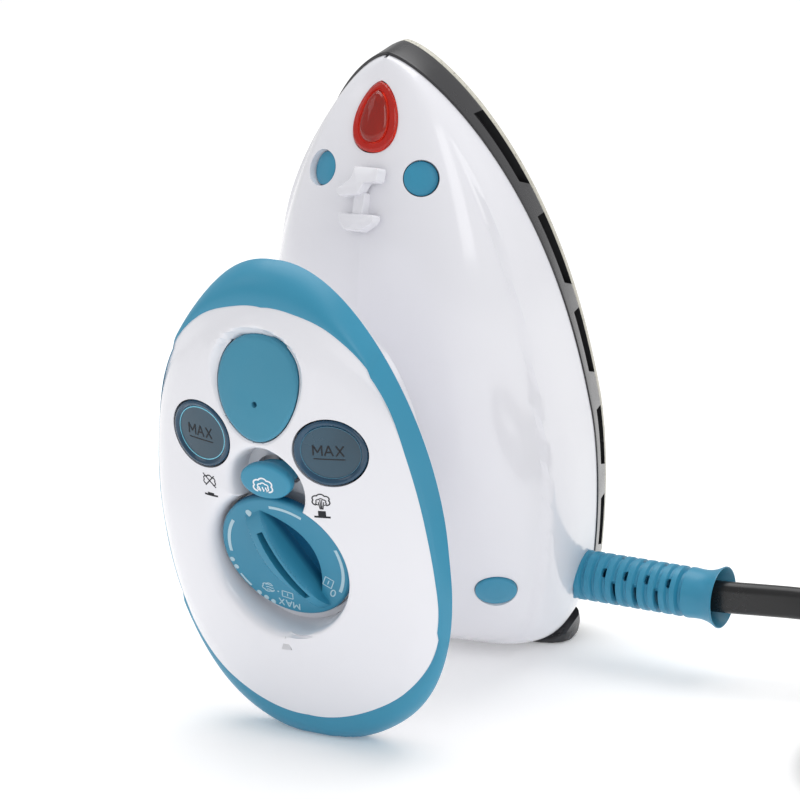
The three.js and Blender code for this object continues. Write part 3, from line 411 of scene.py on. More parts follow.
def make_materials():
    white = (0.83, 0.83, 0.875)
    blue = (0.034, 0.268, 0.425)
    return {
        "shell_white": moulded("shell_white", white, 0.16, 0.012, 0.02, 1500, coat=0.35),
        "trim_blue": moulded("trim_blue", blue, 0.38, 0.05, 0.06),
        "cap_rubber": moulded("cap_rubber", (0.050, 0.265, 0.395), 0.62, 0.06, 0.12, 3200, sheen=0.1),
        "skirt_black": moulded("skirt_black", (0.035, 0.035, 0.038), 0.24, 0.12, 0.05, 1800),
        "sole_ceramic": ceramic_material(),
        "tank_blue": clear("tank_blue", (0.22, 0.50, 0.66), 0.04),
        "lens_red": lens_material(),
        "pointer_grey": moulded("pointer_grey", (0.60, 0.60, 0.63), 0.4),
        # painted shade for the hollow under the indicator lens
        "lens_hollow_painted_shade": moulded("lens_hollow_painted_shade", (0.12, 0.03, 0.025), 0.3, 0.3, 0.05),
        "lens_seat": moulded("lens_seat", (0.85, 0.80, 0.78), 0.4, 0.05, 0.1),
        "dial_blue_painted_shade": dial_material_with_painted_shade(),
        "window_ring": moulded("window_ring", (0.008, 0.052, 0.105), 0.2, 0.3, 0.02, 900, coat=0.25),
        "window_pane": moulded("window_pane", (0.018, 0.062, 0.100), 0.25, 0.45, 0.02, 300, coat=0.15),
        # painted highlights for the window panes' edges, bright on the left window and dim on the right
        "glint": moulded("glint", (0.20, 0.62, 0.80), 0.1, 0.2, 0.02),
        "glint_dim": moulded("glint_dim", (0.05, 0.17, 0.26), 0.2, 0.3, 0.02),
        "print_dark": moulded("print_dark", (0.012, 0.013, 0.018), 0.75, 0.2, 0.1, 4000),
        "print_pale": moulded("print_pale", (0.42, 0.60, 0.69), 0.5, 0.05, 0.1, 4000),
        "print_white": moulded("print_white", (0.86, 0.88, 0.92), 0.5, 0.04, 0.1, 4000),
        "lamp_glass": clear("lamp_glass", (0.95, 0.80, 0.70), 0.02, 0.1),
        "insulator_white": moulded("insulator_white", (0.76, 0.73, 0.65), 0.55, 0.05, 0.15),
        "steel": metal("steel", (0.48, 0.49, 0.50), 0.32),
        "aluminium": metal("aluminium", (0.62, 0.63, 0.64), 0.38, (1, 12, 1)),
        "brass": metal("brass", (0.66, 0.46, 0.17), 0.28),
        "silicone": moulded("silicone", (0.66, 0.63, 0.55), 0.5, 0.06, 0.1),
        "lead_red": moulded("lead_red", (0.42, 0.03, 0.02), 0.5, 0.08, 0.1),
        "lead_white": moulded("lead_white", (0.74, 0.74, 0.76), 0.5, 0.04, 0.1),
        "cord_black": moulded("cord_black", (0.012, 0.012, 0.013), 0.3, 0.15, 0.08, 1400),
    }


def dress_cad_nodes():
    """Gives each CAD node that stays in view the material of its slot."""
    slots = {part["node"]: part["material_slot"] for part in frame["record"]["subparts"]}
    for name, node in frame["nodes"].items():
        node.data.materials.clear()
        node.data.materials.append(MATERIALS[slots[name]])


# ---------------------------------------------------------------- cord
COIL_X, COIL_Y, COIL_LOW = 149, 16, 0.9
COIL_TURNS, COIL_OUTER, COIL_INNER, LAYER_PITCH = 8.889, 50.3, 30.7, 7.7
COIL_START = math.radians(109.9)
QUARTER_TURN_FROM, QUARTER_TURN_TO = 52, 8
CORD_ROUTE = [
    (52, 38.68, 19.65), (57, 38.7, 19.65), (61, 38.9, 19.65), (66, 39.8, 19.65), (71, 41.3, 19.6),
    (80, 44.6, 19.2), (89, 47.8, 18.2), (98, 51.1, 16.7), (110, 55.4, 14.9), (121, 59.4, 13.3),
]
TAIL_ROUTE = [
    (109.5, 48.3, 4.65), (116.9, 61.1, 4.65), (120.4, 67.1, 4.7), (124.6, 72.7, 5), (129.8, 77.4, 5.5),
    (136, 80.8, 6.1), (142.8, 82.7, 6.4),
]


def coil_points():
    """Two layers of a flat coil: inwards on top, down at the inside, and outwards below."""
    points = []
    for part in np.linspace(0, 1, int(COIL_TURNS * 24) + 1):
        angle = COIL_START - 2 * math.pi * COIL_TURNS * part
        radius = COIL_INNER + (COIL_OUTER - COIL_INNER) * abs(1 - 2 * part)
        top = COIL_LOW + CORD_WIDTH / 2 + LAYER_PITCH
        height = top - LAYER_PITCH * float(smooth(0.46, 0.54, part))
        points.append((COIL_X + radius * math.cos(angle), COIL_Y + radius * math.sin(angle), height))
    return points


def catmull(points, steps):
    """Smooth line through points, with a number of steps to each span."""
    p = np.array([2 * np.array(points[0]) - points[1], *points, 2 * np.array(points[-1]) - points[-2]], float)
    out = []
    for i in range(1, len(p) - 2):
        for k in range(steps):
            t = k / steps
            a, b, c, d = p[i - 1], p[i], p[i + 1], p[i + 2]
            out.append(0.5 * (2 * b + (c - a) * t + (2 * a - 5 * b + 4 * c - d) * t**2
                              + (3 * b - a - 3 * c + d) * t**3))
    return np.array(out + [p[-2]])


def cord_section(twist):
    """Flat twin section with a groove between its two cores, turned by a twist."""
    core = CORD_THICK / 2
    centre = CORD_WIDTH / 2 - core
    c, s = math.cos(twist), math.sin(twist)
    ring = []
    for a in turns(28):
        along = math.copysign(centre, math.cos(a)) + core * math.cos(a)
        across = core * math.sin(a) * (1 - 0.35 * math.exp(-((along / 0.75) ** 2)))
        ring.append((c * along - s * across, s * along + c * across))
    return ring


def make_cord():
    """The whole cord from the sleeve to the plug, laid flat in its coil and turned upright at the plug."""
    line = catmull([*CORD_ROUTE, *coil_points(), *TAIL_ROUTE], 3)
    travelled = np.concatenate([[0], np.cumsum(np.linalg.norm(np.diff(line, axis=0), axis=1))])
    tangents = np.gradient(line, axis=0)
    tangents /= np.linalg.norm(tangents, axis=1)[:, None]
    rings = []
    for point, tangent, to_end in zip(line, tangents, travelled[-1] - travelled):
        side = np.cross(tangent, (0, 0, 1))
        side /= np.linalg.norm(side)
        up = np.cross(side, tangent)
        twist = float(smooth(-QUARTER_TURN_FROM, -QUARTER_TURN_TO, -to_end)) * math.pi / 2
        rings.append([point + u * up + v * side for u, v in cord_section(twist)])
    cord = loft("mains_cord", rings, WORLD, 50)
    finish_piece(cord, "iron", "cord_black", "power_cord", "cord_coil", "cord_tail")


# ---------------------------------------------------------------- body shell
ridge_height = profile([
    [-3, 41], [12, 43.2], [28, 45], [52, 49.5], [75, 50.5], [90, 48.3], [104.9, 42.8],
    [117.9, 35.8], [133.2, 25.2], [141, 18.4], [145.5, 14.4], [149.6, 11.2],
])
shoulder_height = profile([
    [-3, 28.5], [5, 33], [17, 35.1], [32, 34.3], [52, 32.9], [77, 30.3], [103, 25.7], [123, 20.5], [150, 11.5],
])


def sole_half(v):
    """Half width of the ironing face at a place along v."""
    v = np.asarray(v, float)
    ahead = np.clip((v - WIDEST_AT) / (NOSE - WIDEST_AT), 0, 1)
    behind = np.clip((WIDEST_AT - v) / (WIDEST_AT - HEEL), 0, 1)
    front = HALF_WIDTH * (1 - ahead**2.4) ** 0.68
    back = HALF_WIDTH * (1 - 0.36 * behind**1.6) * (1 - behind**20) ** 0.4
    return np.where(v > WIDEST_AT, front, back)


def even(points, count):
    """The same line with its points evenly spaced."""
    points = np.asarray(points, float)
    travel = np.concatenate([[0], np.cumsum(np.linalg.norm(np.diff(points, axis=0), axis=1))])
    want = np.linspace(0, travel[-1], count)
    return np.stack([np.interp(want, travel, points[:, k]) for k in range(points.shape[1])], 1)


def body_ends(inset):
    """Heel and nose of the dome's surface at a depth inside its outside."""
    return BODY_HEEL + inset, BODY_NOSE - inset * 1.6


def heel_closing(v, heel):
    """Share of the dome's full height, which closes down in a round at the heel."""
    back = max(0.0, (HEEL_ROUND_FROM - v) / (HEEL_ROUND_FROM - heel))
    return max(0.0, 1 - back**HEEL_ROUND) ** (1 / HEEL_ROUND)


def body_arch(v, inset, count=97):
    """Boxy arch of the body at a place along v, with a ridge line and a soft shoulder line."""
    heel, nose = body_ends(inset)
    along = (v - heel) / (nose - heel)
    half = float(sole_half(HEEL + (NOSE - HEEL) * along)) * (1 + (SKIRT_FLARE - inset) / HALF_WIDTH)
    rise = max((float(ridge_height(v + inset)) - inset * 1.1 - SKIRT_TOP) * heel_closing(v, heel), 0.6)
    turn = np.linspace(0, np.pi, 1201)
    c, s = np.cos(turn), np.sin(turn)
    x = max(half, 0.4) * np.sign(c) * np.abs(c) ** (2 / BODY_BOX)
    w = SKIRT_TOP + rise * s ** (2 / BODY_BOX) - RIDGE_SLOPE * np.abs(x) * s**2
    shoulder = float(shoulder_height(v))
    below = 1 - smooth(shoulder - 0.7, shoulder + 0.9, w)
    step = SHOULDER_STEP * smooth(140, 118, v) * below * smooth(SKIRT_TOP, shoulder - 2, w)
    grow = step * (1 - inset / BODY_WALL)
    return even(np.stack([x + np.sign(c) * grow, np.full_like(x, v), w + 0.3 * grow], 1), count)


def body_grid(inset, rows=120):
    """Arches of the dome from heel to nose, closer together at both ends."""
    heel, nose = body_ends(inset)
    along = (1 - np.cos(np.linspace(0, np.pi, rows))) / 2
    return [body_arch(v, inset) for v in heel + 0.04 + (nose - heel - 0.08) * along]


def make_body():
    """Dome with its inside wall, open at the bottom, cut for the lens and the screw covers, with the neck
    joined on.
    """
    outer, inner = body_grid(0), body_grid(BODY_WALL)
    rows, count = len(outer), len(outer[0])
    points = [tuple(p) for ring in outer + inner for p in ring]
    faces = []
    for layer in (0, rows * count):
        for r in range(rows - 1):
            for i in range(count - 1):
                a = layer + r * count + i
                faces.append((a, a + 1, a + count + 1, a + count))
    edge = [r * count for r in range(rows)] + [(rows - 1) * count + i for i in range(1, count)]
    edge += [r * count + count - 1 for r in range(rows - 2, -1, -1)] + list(range(count - 2, 0, -1))
    for a, b in zip(edge, edge[1:] + edge[:1]):
        faces.append((a, b, b + rows * count, a + rows * count))
    shell = mesh_object("body_dome", points, faces, IRON, 32)
    for cutter in body_cutters():
        cut(shell, cutter)
    shade(shell, 32)
    mark_ridge(shell)
    join(shell, make_neck())
    finish_piece(shell, "iron", "shell_white", "body_shell")


def mark_ridge(shell):
    """Keeps the line along the top of the dome crisp."""
    sharp = shell.data.attributes["sharp_edge"].data
    to_iron = IRON.inverted()
    place = [to_iron @ (v.co / MM) for v in shell.data.vertices]
    for edge in shell.data.edges:
        a, b = (place[i] for i in edge.vertices)
        if abs(a.x) + abs(b.x) < 0.02 and a.z > 16:
            sharp[edge.index].value = True


def cut(piece, cutter):
    """Takes a closed cutter away from a closed piece."""
    change = piece.modifiers.new("cut", "BOOLEAN")
    change.operation, change.solver, change.object = "DIFFERENCE", "EXACT", cutter
    bpy.context.view_layer.objects.active = piece
    bpy.ops.object.modifier_apply(modifier=change.name)
    bpy.data.objects.remove(cutter)


def join(piece, *others):
    """Makes one object of several."""
    bpy.ops.object.select_all(action="DESELECT")
    for other in (piece, *others):
        other.select_set(True)
    bpy.context.view_layer.objects.active = piece
    bpy.ops.object.join()


def bowl_underside(x, l):
    """Height in the grip's frame of the bowl's outside under a point of its plan."""
    size = np.hypot(x / (1 - GRIP_EGG * l / GRIP_HALF_LENGTH) / GRIP_HALF_WIDTH, l / GRIP_HALF_LENGTH)
    return float(bowl_profile(size))


bowl_profile = profile([
    [0, -12], [0.3, -11.9], [0.5, -11.2], [0.68, -9.9], [0.8, -8.1], [0.9, -5.6], [0.965, -3.1], [0.99, -1.4],
    [1, 0.2],
])


def make_neck():
    """Waisted oval neck that flares into the body below and the bowl above."""
    half_x = profile([[0, 14], [0.12, 12.6], [0.35, 11.6], [0.6, 11.2], [0.8, 11.6], [0.93, 12.8], [1, 14.5]])
    half_v = profile([[0, 27], [0.12, 25], [0.35, 22.5], [0.6, 21.5], [0.8, 22], [0.93, 23.5], [1, 26]])
    rings = []
    for part in np.linspace(0, 1, 25):
        ring = []
        for x, v in ellipse(float(half_x(part)), float(half_v(part)), 96, (0, NECK_AT)):
            low = body_top(x, v) - 1.2
            at = IRON_IN_GRIP @ Vector((x, v, 70))
            high = (GRIP_IN_IRON @ Vector((at.x, at.y, bowl_underside(at.x, at.y) + 1))).z
            ring.append((x, v, low + (high - low) * part))
        rings.append(ring)
    return loft("neck", rings, IRON, 60)


def body_top(x, v):
    """Height of the dome over a point."""
    half = float(sole_half(v)) * (1 + SKIRT_FLARE / HALF_WIDTH)
    c = min(abs(x) / half, 0.999) ** (BODY_BOX / 2)
    s = math.sqrt(1 - c * c)
    rise = (float(ridge_height(v)) - SKIRT_TOP) * heel_closing(v, BODY_HEEL)
    return SKIRT_TOP + rise * s ** (2 / BODY_BOX) - RIDGE_SLOPE * abs(x) * s * s


# ---------------------------------------------------------------- what is set into the body
LENS = IRON @ aim((0, 139.4, 19.9), (0, 0.665, 0.747))
PLUGS = {
    "front": ((12.1, 128.9, 25.6), (0.474, 0.556, 0.683), 3.8),
    "rear": ((19, 28, 41.6), (0.397, -0.279, 0.875), 4.8),
}
SIDES = {"left": -1, "right": 1}


def plug_frame(end, side):
    """Frame of a screw cover, with its third axis out of the shell."""
    (x, v, w), (a, b, c), _ = PLUGS[end]
    return IRON @ aim((side * x, v, w), (side * a, b, c))


def teardrop(margin, count=72):
    """Outline with its point towards the nose, widened by a margin."""
    half, tip, tail = 5.3 + margin, 8.2 + margin, -7.4 - margin
    right = []
    spans = [
        ((0, tip), (half * 0.5, tip - 0.5), (half, 2.6), (half, -1.4)),
        ((half, -1.4), (half, tail * 0.72), (half * 0.55, tail), (0, tail)),
    ]
    for a, b, c, d in spans:
        for k in range(count // 4 + 1):
            t = k / (count // 4)
            u = 1 - t
            right.append(u**3 * np.array(a) + 3 * u * u * t * np.array(b) + 3 * u * t * t * np.array(c)
                         + t**3 * np.array(d))
    right = even(right, count // 2 + 1)
    return [(x, y) for x, y in right] + [(-x, y) for x, y in right[-2:0:-1]]


def body_cutters():
    """Countersunk holes: a straight bore that opens out a little at the surface."""
    yield stack("cut_lens", teardrop, [(0.25, -9), (0.25, -0.1), (0.7, 0.6), (0.9, 6)], LENS)
    for end, (_, _, radius) in PLUGS.items():
        for side in SIDES.values():
            levels = [(radius + 0.14, -9), (radius + 0.14, -0.3), (radius + 0.22, 0.1), (radius + 0.4, 4)]
            yield stack("cut_plug", circle, levels, plug_frame(end, side))


def make_screw_covers():
    """Round caps over the four body screws."""
    for end, (_, _, radius) in PLUGS.items():
        for hand, side in SIDES.items():
            pairs = rounded([(0, -1.9), (radius, -1.9), (radius, -0.15), (radius * 0.6, 0.12), (0, 0.2)], 0.35)
            cover = lathe(f"screw_cover_{end}_{hand}_cap", pairs, place=plug_frame(end, side))
            finish_piece(cover, "iron", "trim_blue", f"screw_cover_{end}_{hand}")


def make_lens():
    """Red lens with its raised centre, over a pale seat and a hollow painted dark as shade."""
    levels = [
        (-0.1, -0.9), (0, -0.7), (0, -0.1), (-0.12, 0.15), (-0.4, 0.36), (-0.8, 0.45), (-1.5, 0.42),
        (-1.62, 0.2), (-1.85, 0.16), (-1.98, 0.5), (-2.2, 0.9), (-2.7, 1.3), (-3.4, 1.55), (-4.4, 1.7),
    ]
    lens = stack("indicator_lens_red", teardrop, levels, LENS, 50)
    finish_piece(lens, "iron", "lens_red", "indicator_lens")
    levels = [(0, -1.0), (0, -2.5), (-2.1, -2.5), (-2.1, -1.0), (0, -1.0)]
    seat = skin([lifted(teardrop(grow), z) for grow, z in levels], caps=False)
    finish_piece(mesh_object("lens_seat", *seat, LENS), "iron", "shell_white", look="lens_seat")
    # painted shade: the hollow under the lens is coloured dark red-brown
    cavity = stack("lens_cavity", teardrop, [(-2.1, -2.2), (-2.1, -1.3), (-2.5, -1.1)], LENS, 50)
    finish_piece(cavity, "iron", "lens_red", look="lens_hollow_painted_shade")


def slab(name, corners, low, high, place):
    """Moulded lug with slightly rounded corners, bevelled at its top."""
    outline = rounded([*corners, corners[0], corners[1]], 0.7)[5:-1]
    middle = np.mean(corners, axis=0)

    def sized(size):
        return [tuple(middle + size * (np.array(p) - middle)) for p in outline]

    return stack(name, sized, [(1.04, low), (1, high - 0.5), (0.97, high - 0.15), (0.9, high)], place, 40)


def make_cleat():
    """Slanted lug and a smaller one below it, joined by a short web along the ridge."""
    place = IRON @ aim((0, 126.3, 31.3), (0, 0.62, 0.785))
    upper = [(4.7, 6.4), (-1.2, 6.8), (-2.0, 3.6), (-5.4, 0.9), (-4.6, -0.5), (0.4, 0.3), (1.6, 3.0),
             (4.6, 3.4)]
    web = [(1.3, 1), (-1.3, 1), (-1.3, -5), (1.3, -5)]
    lower = [(4.6, -3.7), (-4.4, -3.7), (-4.2, -5.6), (-2.4, -7.6), (1.6, -7.6), (4.4, -5.4)]
    lug = slab("ridge_cleat_lugs", upper, 0, 3.3, place)
    join(lug, slab("web", web, -1.2, 1.6, place), slab("lower", lower, -0.6, 2.4, place))
    finish_piece(lug, "iron", "shell_white", "ridge_cleat")


# ---------------------------------------------------------------- skirt, soleplate and heel rest
SLOTS = [(116, 133.5), (90, 108), (66, 83), (39.5, 56), (15, 30)]


def sole_line(heel, nose, widen, count=181):
    """Right side of the outline, evenly spaced, from heel to nose."""
    along = (1 - np.cos(np.linspace(0, np.pi, 721))) / 2
    half = sole_half(HEEL + (NOSE - HEEL) * along) * (1 + widen / HALF_WIDTH)
    return even(np.stack([half, heel + (nose - heel) * along], 1), count)


def sole_ring(heel, nose, widen, w):
    """Outline of the plate at a height, between a heel and a nose."""
    right = lifted(sole_line(heel, nose, widen), w)
    return right + [(-x, v, w) for x, v, _ in right[-2:0:-1]]


def make_soleplate():
    """Ceramic-coated plate with a rolled edge, and countersunk steam holes."""
    levels = [(3.9, 8.5), (3.9, 3.4), (2.9, 3.05), (2.7, 2.9), (2.65, 2.1), (0.2, 2.05), (0, 1.8), (0, 0.9),
              (0.25, 0.35), (0.8, 0.06), (1.5, 0)]
    rings = [sole_ring(HEEL + d, NOSE - 1.5 * d, -d, w) for d, w in levels]
    plate = loft("soleplate_coated", rings, IRON, 40)
    hole = [(0, -1), (2.6, -1), (2.5, 0), (1.9, 0.25), (1.5, 0.7), (1.5, 2.4), (0, 2.4)]
    for x, v in [(0, 112), (4.5, 106), (-4.5, 106), (4.5, 98), (-4.5, 98), (4.5, 90), (-4.5, 90)]:
        cut(plate, lathe("cut_vent", hole, 32, IRON @ Matrix.Translation((x, v, 0))))
    shade(plate, 40)
    finish_piece(plate, "iron", "sole_ceramic", "soleplate")


def make_skirt():
    """Black band between the plate and the shell, notched along its lower edge."""
    outer = [(-2.6, 149.6, 1.0, 10.0), (-2.7, 150.1, 2.2, 10.0), (-2.75, 150.3, 2.42, 9.8),
             (-2.8, 150.2, 2.3, 9.1), (-2.9, 149.6, 1.4, 6.2), (-3.0, 149.0, 0.6, 3.0),
             (-3.0, 148.8, 0.35, 2.3), (-2.95, 148.6, 0.15, 2.1)]
    inner = [(-0.6, 144.4, -2.5, 2.1), (-0.4, 143.9, -1.2, 9.7)]
    rings = [sole_ring(*row) for row in outer + inner]
    points, faces = skin(rings + rings[:1], caps=False)
    skirt = mesh_object("skirt_band", points, faces, IRON, 30)
    for low, high in SLOTS:
        for side in SIDES.values():
            cut(skirt, slot_cutter(low, high, side))
    shade(skirt, 30)
    finish_piece(skirt, "iron", "skirt_black", "skirt")


def slot_cutter(low, high, side):
    """Slanted notch that follows the outline, open towards the plate and closed at its back."""
    rings = []
    for part in np.linspace(0, 1, 16):
        v = low + (high - low) * part
        edge = float(sole_half(v))
        shift = 3.2 - 1.7 * part
        inner, outer = side * (edge - 1.7), side * (edge + 6)
        rings.append([(inner, v - shift / 2, 2.35), (outer, v - shift / 2, 2.35), (outer, v + shift / 2, 6.5),
                      (inner, v + shift / 2, 6.5)])
    return loft("cut_slot", rings, IRON)


def make_heel_rest():
    """Rubbery bumper across the heel with a flat foot where the parked iron stands."""
    rings = []
    for x in np.linspace(-20, 20, 65):
        taper = (1 - (abs(x) / 20.4) ** 5) ** 0.35
        half, reach = 8.2 * taper, 5.4 * taper
        pairs = [(BODY_HEEL - 0.3, 14 - half), (BODY_HEEL - 0.3, 14 + half), (-3.6 - reach * 0.6, 14 + half),
                 (-4 - reach, 14 + half * 0.7), (-4 - reach, 14 - half * 0.5), (-3.6 - reach * 0.5, 14 - half)]
        rings.append([(x, v, w) for v, w in rounded([*pairs, pairs[0]], 1.6 * taper, 4)])
    rest = loft("heel_rest_bumper", above_floor(rings, IRON), WORLD, 40)
    finish_piece(rest, "iron", "skirt_black", "heel_rest")


# ---------------------------------------------------------------- grip bowl, band and face
def egg(half_width, half_length, h, shift, count, sizes):
    """Egg outline, wider towards the nose, with its size varied by the angle from the nose."""
    ring = []
    for a in turns(count):
        size = float(sizes(abs(math.degrees(math.remainder(a, 2 * math.pi)))))
        x = half_width * size * math.sin(a) * (1 - GRIP_EGG * math.cos(a))
        ring.append((x, shift + half_length * size * math.cos(a), h))
    return ring


face_size = profile([
    [0, 0.965], [15, 0.985], [32, 1.035], [46, 1.06], [56, 1.05], [70, 1.0], [90, 0.965], [103, 0.97],
    [116, 1.0], [129, 1.02], [142, 1.01], [156, 0.985], [180, 0.97],
])
rim_size = profile([
    [0, 0.99], [22, 1.0], [58, 1.0], [75, 0.995], [90, 0.985], [98, 0.979], [109, 0.99], [120, 1.003],
    [135, 1.016], [160, 1.009], [180, 1.005],
])


def grip_side(angle):
    """1 along the chamfered sides of the grip and 0 round its ends, sharply at the two kinks."""
    behind_front = smooth(KINK_FRONT - 0.8, KINK_FRONT + 0.8, angle)
    return behind_front * (1 - smooth(KINK_REAR - 0.8, KINK_REAR + 0.8, angle))


def face_reach(angle):
    """Size of the face's outline at an angle from the nose, with a small step at each kink."""
    return float(face_size(angle)) + KINK_STEP * (0.5 - float(grip_side(angle)))


def face_edge_drop(angle):
    """How far the face rolls down at its edge: deep along the sides, little at the ends."""
    return 0.25 + 1.35 * smooth(22, 60, angle) * (1 - smooth(122, 158, angle))


def face_angle(x, l):
    """Angle from the nose, in degrees, of a point of the face."""
    return np.abs(np.degrees(np.arctan2(x / FACE_HALF_WIDTH, (l - FACE_SHIFT) / FACE_HALF_LENGTH)))


def crown(x, l):
    """Height of the crowned face, which starts to fall sooner towards the heel."""
    along = np.minimum(np.abs((l - FACE_SHIFT) / FACE_HALF_LENGTH), 1.1)
    drop = np.where(l < FACE_SHIFT, along**1.5, along**3)
    return FACE_CROWN - FACE_SIDE_DROP * (x / FACE_HALF_WIDTH) ** 2 - FACE_END_DROP * drop


def above_floor(rings, place):
    """Rings in the row frame with nothing below the floor."""
    moved = [[place @ Vector(p) for p in ring] for ring in rings]
    return [[(p.x, p.y, max(p.z, 0.0)) for p in ring] for ring in moved]


def grip_outline(size, h, count=160):
    """Outline shared by the bowl and the band: an egg that is drawn in a little at its middle."""
    return egg(RIM_HALF_WIDTH * size, RIM_HALF_LENGTH * size, h, RIM_SHIFT * size, count, rim_size)


def make_bowl():
    """White lower half of the grip, a smooth egg-shaped bowl with its inner wall."""
    sizes = [0.02, 0.15, 0.3, 0.42, 0.52, 0.6, 0.68, 0.75, 0.81, 0.86, 0.9, 0.935, 0.96, 0.978]
    rings = [grip_outline(size * (1 - 0.05 * (1 - size) ** 0.3), float(bowl_profile(size))) for size in sizes]
    rings += [grip_outline(0.992, -1.6), grip_outline(0.99, -1.4), grip_outline(0.984, -1.25)]
    for size in (0.984, *reversed(sizes)):
        rings.append(grip_outline(size * 0.96, min(float(bowl_profile(size)) + 2, -1.25)))
    bowl = loft("handle_bowl", above_floor(rings, GRIP), WORLD, 40)
    finish_piece(bowl, "iron", "shell_white", "handle_base")


def make_band():
    """Blue band round the face: soft and wide at the ends, with a chamfer strip down each side."""
    count = 360
    inner = np.array(egg(FACE_HALF_WIDTH, FACE_HALF_LENGTH, 0, FACE_SHIFT, count, face_reach))
    outer = np.array(grip_outline(1, -1.0, count))
    side = grip_side(np.abs(np.degrees([math.remainder(a, 2 * math.pi) for a in turns(count)])))
    x, l = inner[:, 0], inner[:, 1]
    top = crown(x, l) - face_edge_drop(face_angle(x, l)) + 0.05
    rings = []
    for part in [0, 0.06, 0.14, 0.22, 0.3, 0.36, 0.41, 0.47, 0.55, 0.63, 0.72, 0.8, 0.87, 0.93, 0.97, 1]:
        soft = (1 - part**2.3) ** 0.62
        chamfer = np.interp(part, [0, 0.06, 0.36, 0.47, 0.8, 0.93, 1], [1, 0.985, 0.79, 0.68, 0.3, 0.12, 0])
        ring = inner + (outer - inner) * part
        ring[:, 2] = outer[:, 2] + (top - outer[:, 2]) * (chamfer * side + soft * (1 - side))
        rings.append(ring)
    under = inner.copy()
    under[:, 2] = 0.3
    band = skin(above_floor([*rings, under, rings[0]], GRIP), caps=False)
    finish_piece(mesh_object("rim_band_blue", *band, WORLD, 40), "iron", "trim_blue", "rim_band")


def relief(name, points, height, outline, holes, place, angle=35, depth=1.6):
    """Closed plate whose top is a height field over scattered plan points, inside an outline, with holes."""
    verts, edges = list(points), []
    for loop in (outline, *holes):
        start = len(verts)
        verts += loop
        edges += [(start + i, start + (i + 1) % len(loop)) for i in range(len(loop))]
    flat, _, tris, *_ = delaunay_2d_cdt([Vector(p) for p in verts], edges, [], 0, 1e-5)
    middle = np.array([np.mean([flat[i] for i in tri], axis=0) for tri in tris])
    keep = inside(middle, outline)
    for hole in holes:
        keep &= ~inside(middle, hole)
    tris = [tuple(tri) for tri, kept in zip(tris, keep) if kept]
    xy = np.array([tuple(p) for p in flat])
    top = height(xy[:, 0], xy[:, 1])
    count = len(xy)
    solid = [(x, y, h) for (x, y), h in zip(xy, top)] + [(x, y, h - depth) for (x, y), h in zip(xy, top)]
    sides = {(a, b) for tri in tris for a, b in zip(tri, tri[1:] + tri[:1])}
    faces = tris + [tuple(i + count for i in reversed(tri)) for tri in tris]
    faces += [(b, a, a + count, b + count) for a, b in sorted(sides) if (b, a) not in sides]
    return mesh_object(name, solid, faces, place, angle)


def inside(points, loop):
    """Which points lie inside a closed loop."""
    loop = np.array(loop, float)
    x, y = points[:, 0], points[:, 1]
    found = np.zeros(len(points), bool)
    for (x0, y0), (x1, y1) in zip(loop, np.roll(loop, -1, axis=0)):
        if y0 == y1:
            continue
        crosses = (y0 > y) != (y1 > y)
        found ^= crosses & (x < (x1 - x0) * (y - y0) / (y1 - y0) + x0)
    return found


def well_surface(x, l, guess):
    """Height of the dial well's wall over a plan point, found by stepping down it."""
    h = guess.copy()
    c, s = math.cos(GRIP_TILT), math.sin(GRIP_TILT)
    radii = [0, WELL_RADIUS - 0.04, WELL_RADIUS, WELL_RADIUS + 0.24, WELL_RADIUS + 1.5]
    heights = [WELL_FLOOR, WELL_FLOOR, WELL_FLOOR + 0.4, WELL_FLOOR + 9.5, 130]
    for _ in range(12):
        w = np.interp(dial_radius(x, l, h), radii, heights)
        h = h + 0.5 * ((w - GRIP_AT.z - l * s) / c - h)
    return h


def dial_radius(x, l, h):
    """Distance of a point of the grip from the dial's axis."""
    return np.hypot(x, GRIP_AT.y + l * math.cos(GRIP_TILT) - h * math.sin(GRIP_TILT) - DIAL_AT)


def recess_radius(x, l):
    """Distance of a point of the grip from the middle of the button's recess."""
    return np.hypot(x - RECESS_AT[0], l - RECESS_AT[1])


def face_lips(x, l, base):
    """How far the face rolls down into the well and the recess: softly on the left, crisply on the right."""
    soft = 0.26 + 0.75 * smooth(6, -10, x)
    well = 7.5 * np.exp(-np.maximum(dial_radius(x, l, base) - WELL_RADIUS - 0.2, 0) / soft)
    soft = 0.22 + 0.5 * smooth(5, -8, x + 0.3 * (RECESS_AT[1] - l))
    recess = 5 * np.exp(-np.maximum(recess_radius(x, l) - RECESS_RADIUS, 0) / soft)
    return np.maximum(well, recess)


def window_ring(side, grow):
    """Outline of a window, widened."""
    return ellipse(WINDOW_HALF_WIDTH + grow, WINDOW_HALF_LENGTH + grow, 72, (side * WINDOW_SIDE, WINDOW_AT))


def fill_share(across, along):
    """Size of the egg through a point, as a share of the fill cap's own egg."""
    share = np.clip(along / CAP_HALF_LENGTH, -2, 2)
    return np.hypot(across / (CAP_HALF_WIDTH * (1 + CAP_EGG * share)), share)


def fill_ring(grow, count=120):
    """Outline that runs an even distance outside the fill cap, narrower towards the heel."""
    ring = []
    for a in turns(count):
        reach = CAP_HALF_LENGTH + grow
        for _ in range(12):
            reach = grow + reach / float(fill_share(reach * math.sin(a), reach * math.cos(a)))
        ring.append((CAP_AT[0] + reach * math.sin(a), CAP_AT[1] + reach * math.cos(a)))
    return ring


def fill_distance(x, l):
    """About how far a point is outside the fill cap's outline."""
    across, along = x - CAP_AT[0], l - CAP_AT[1]
    return np.hypot(across, along) * (1 - 1 / np.maximum(fill_share(across, along), 1e-3))


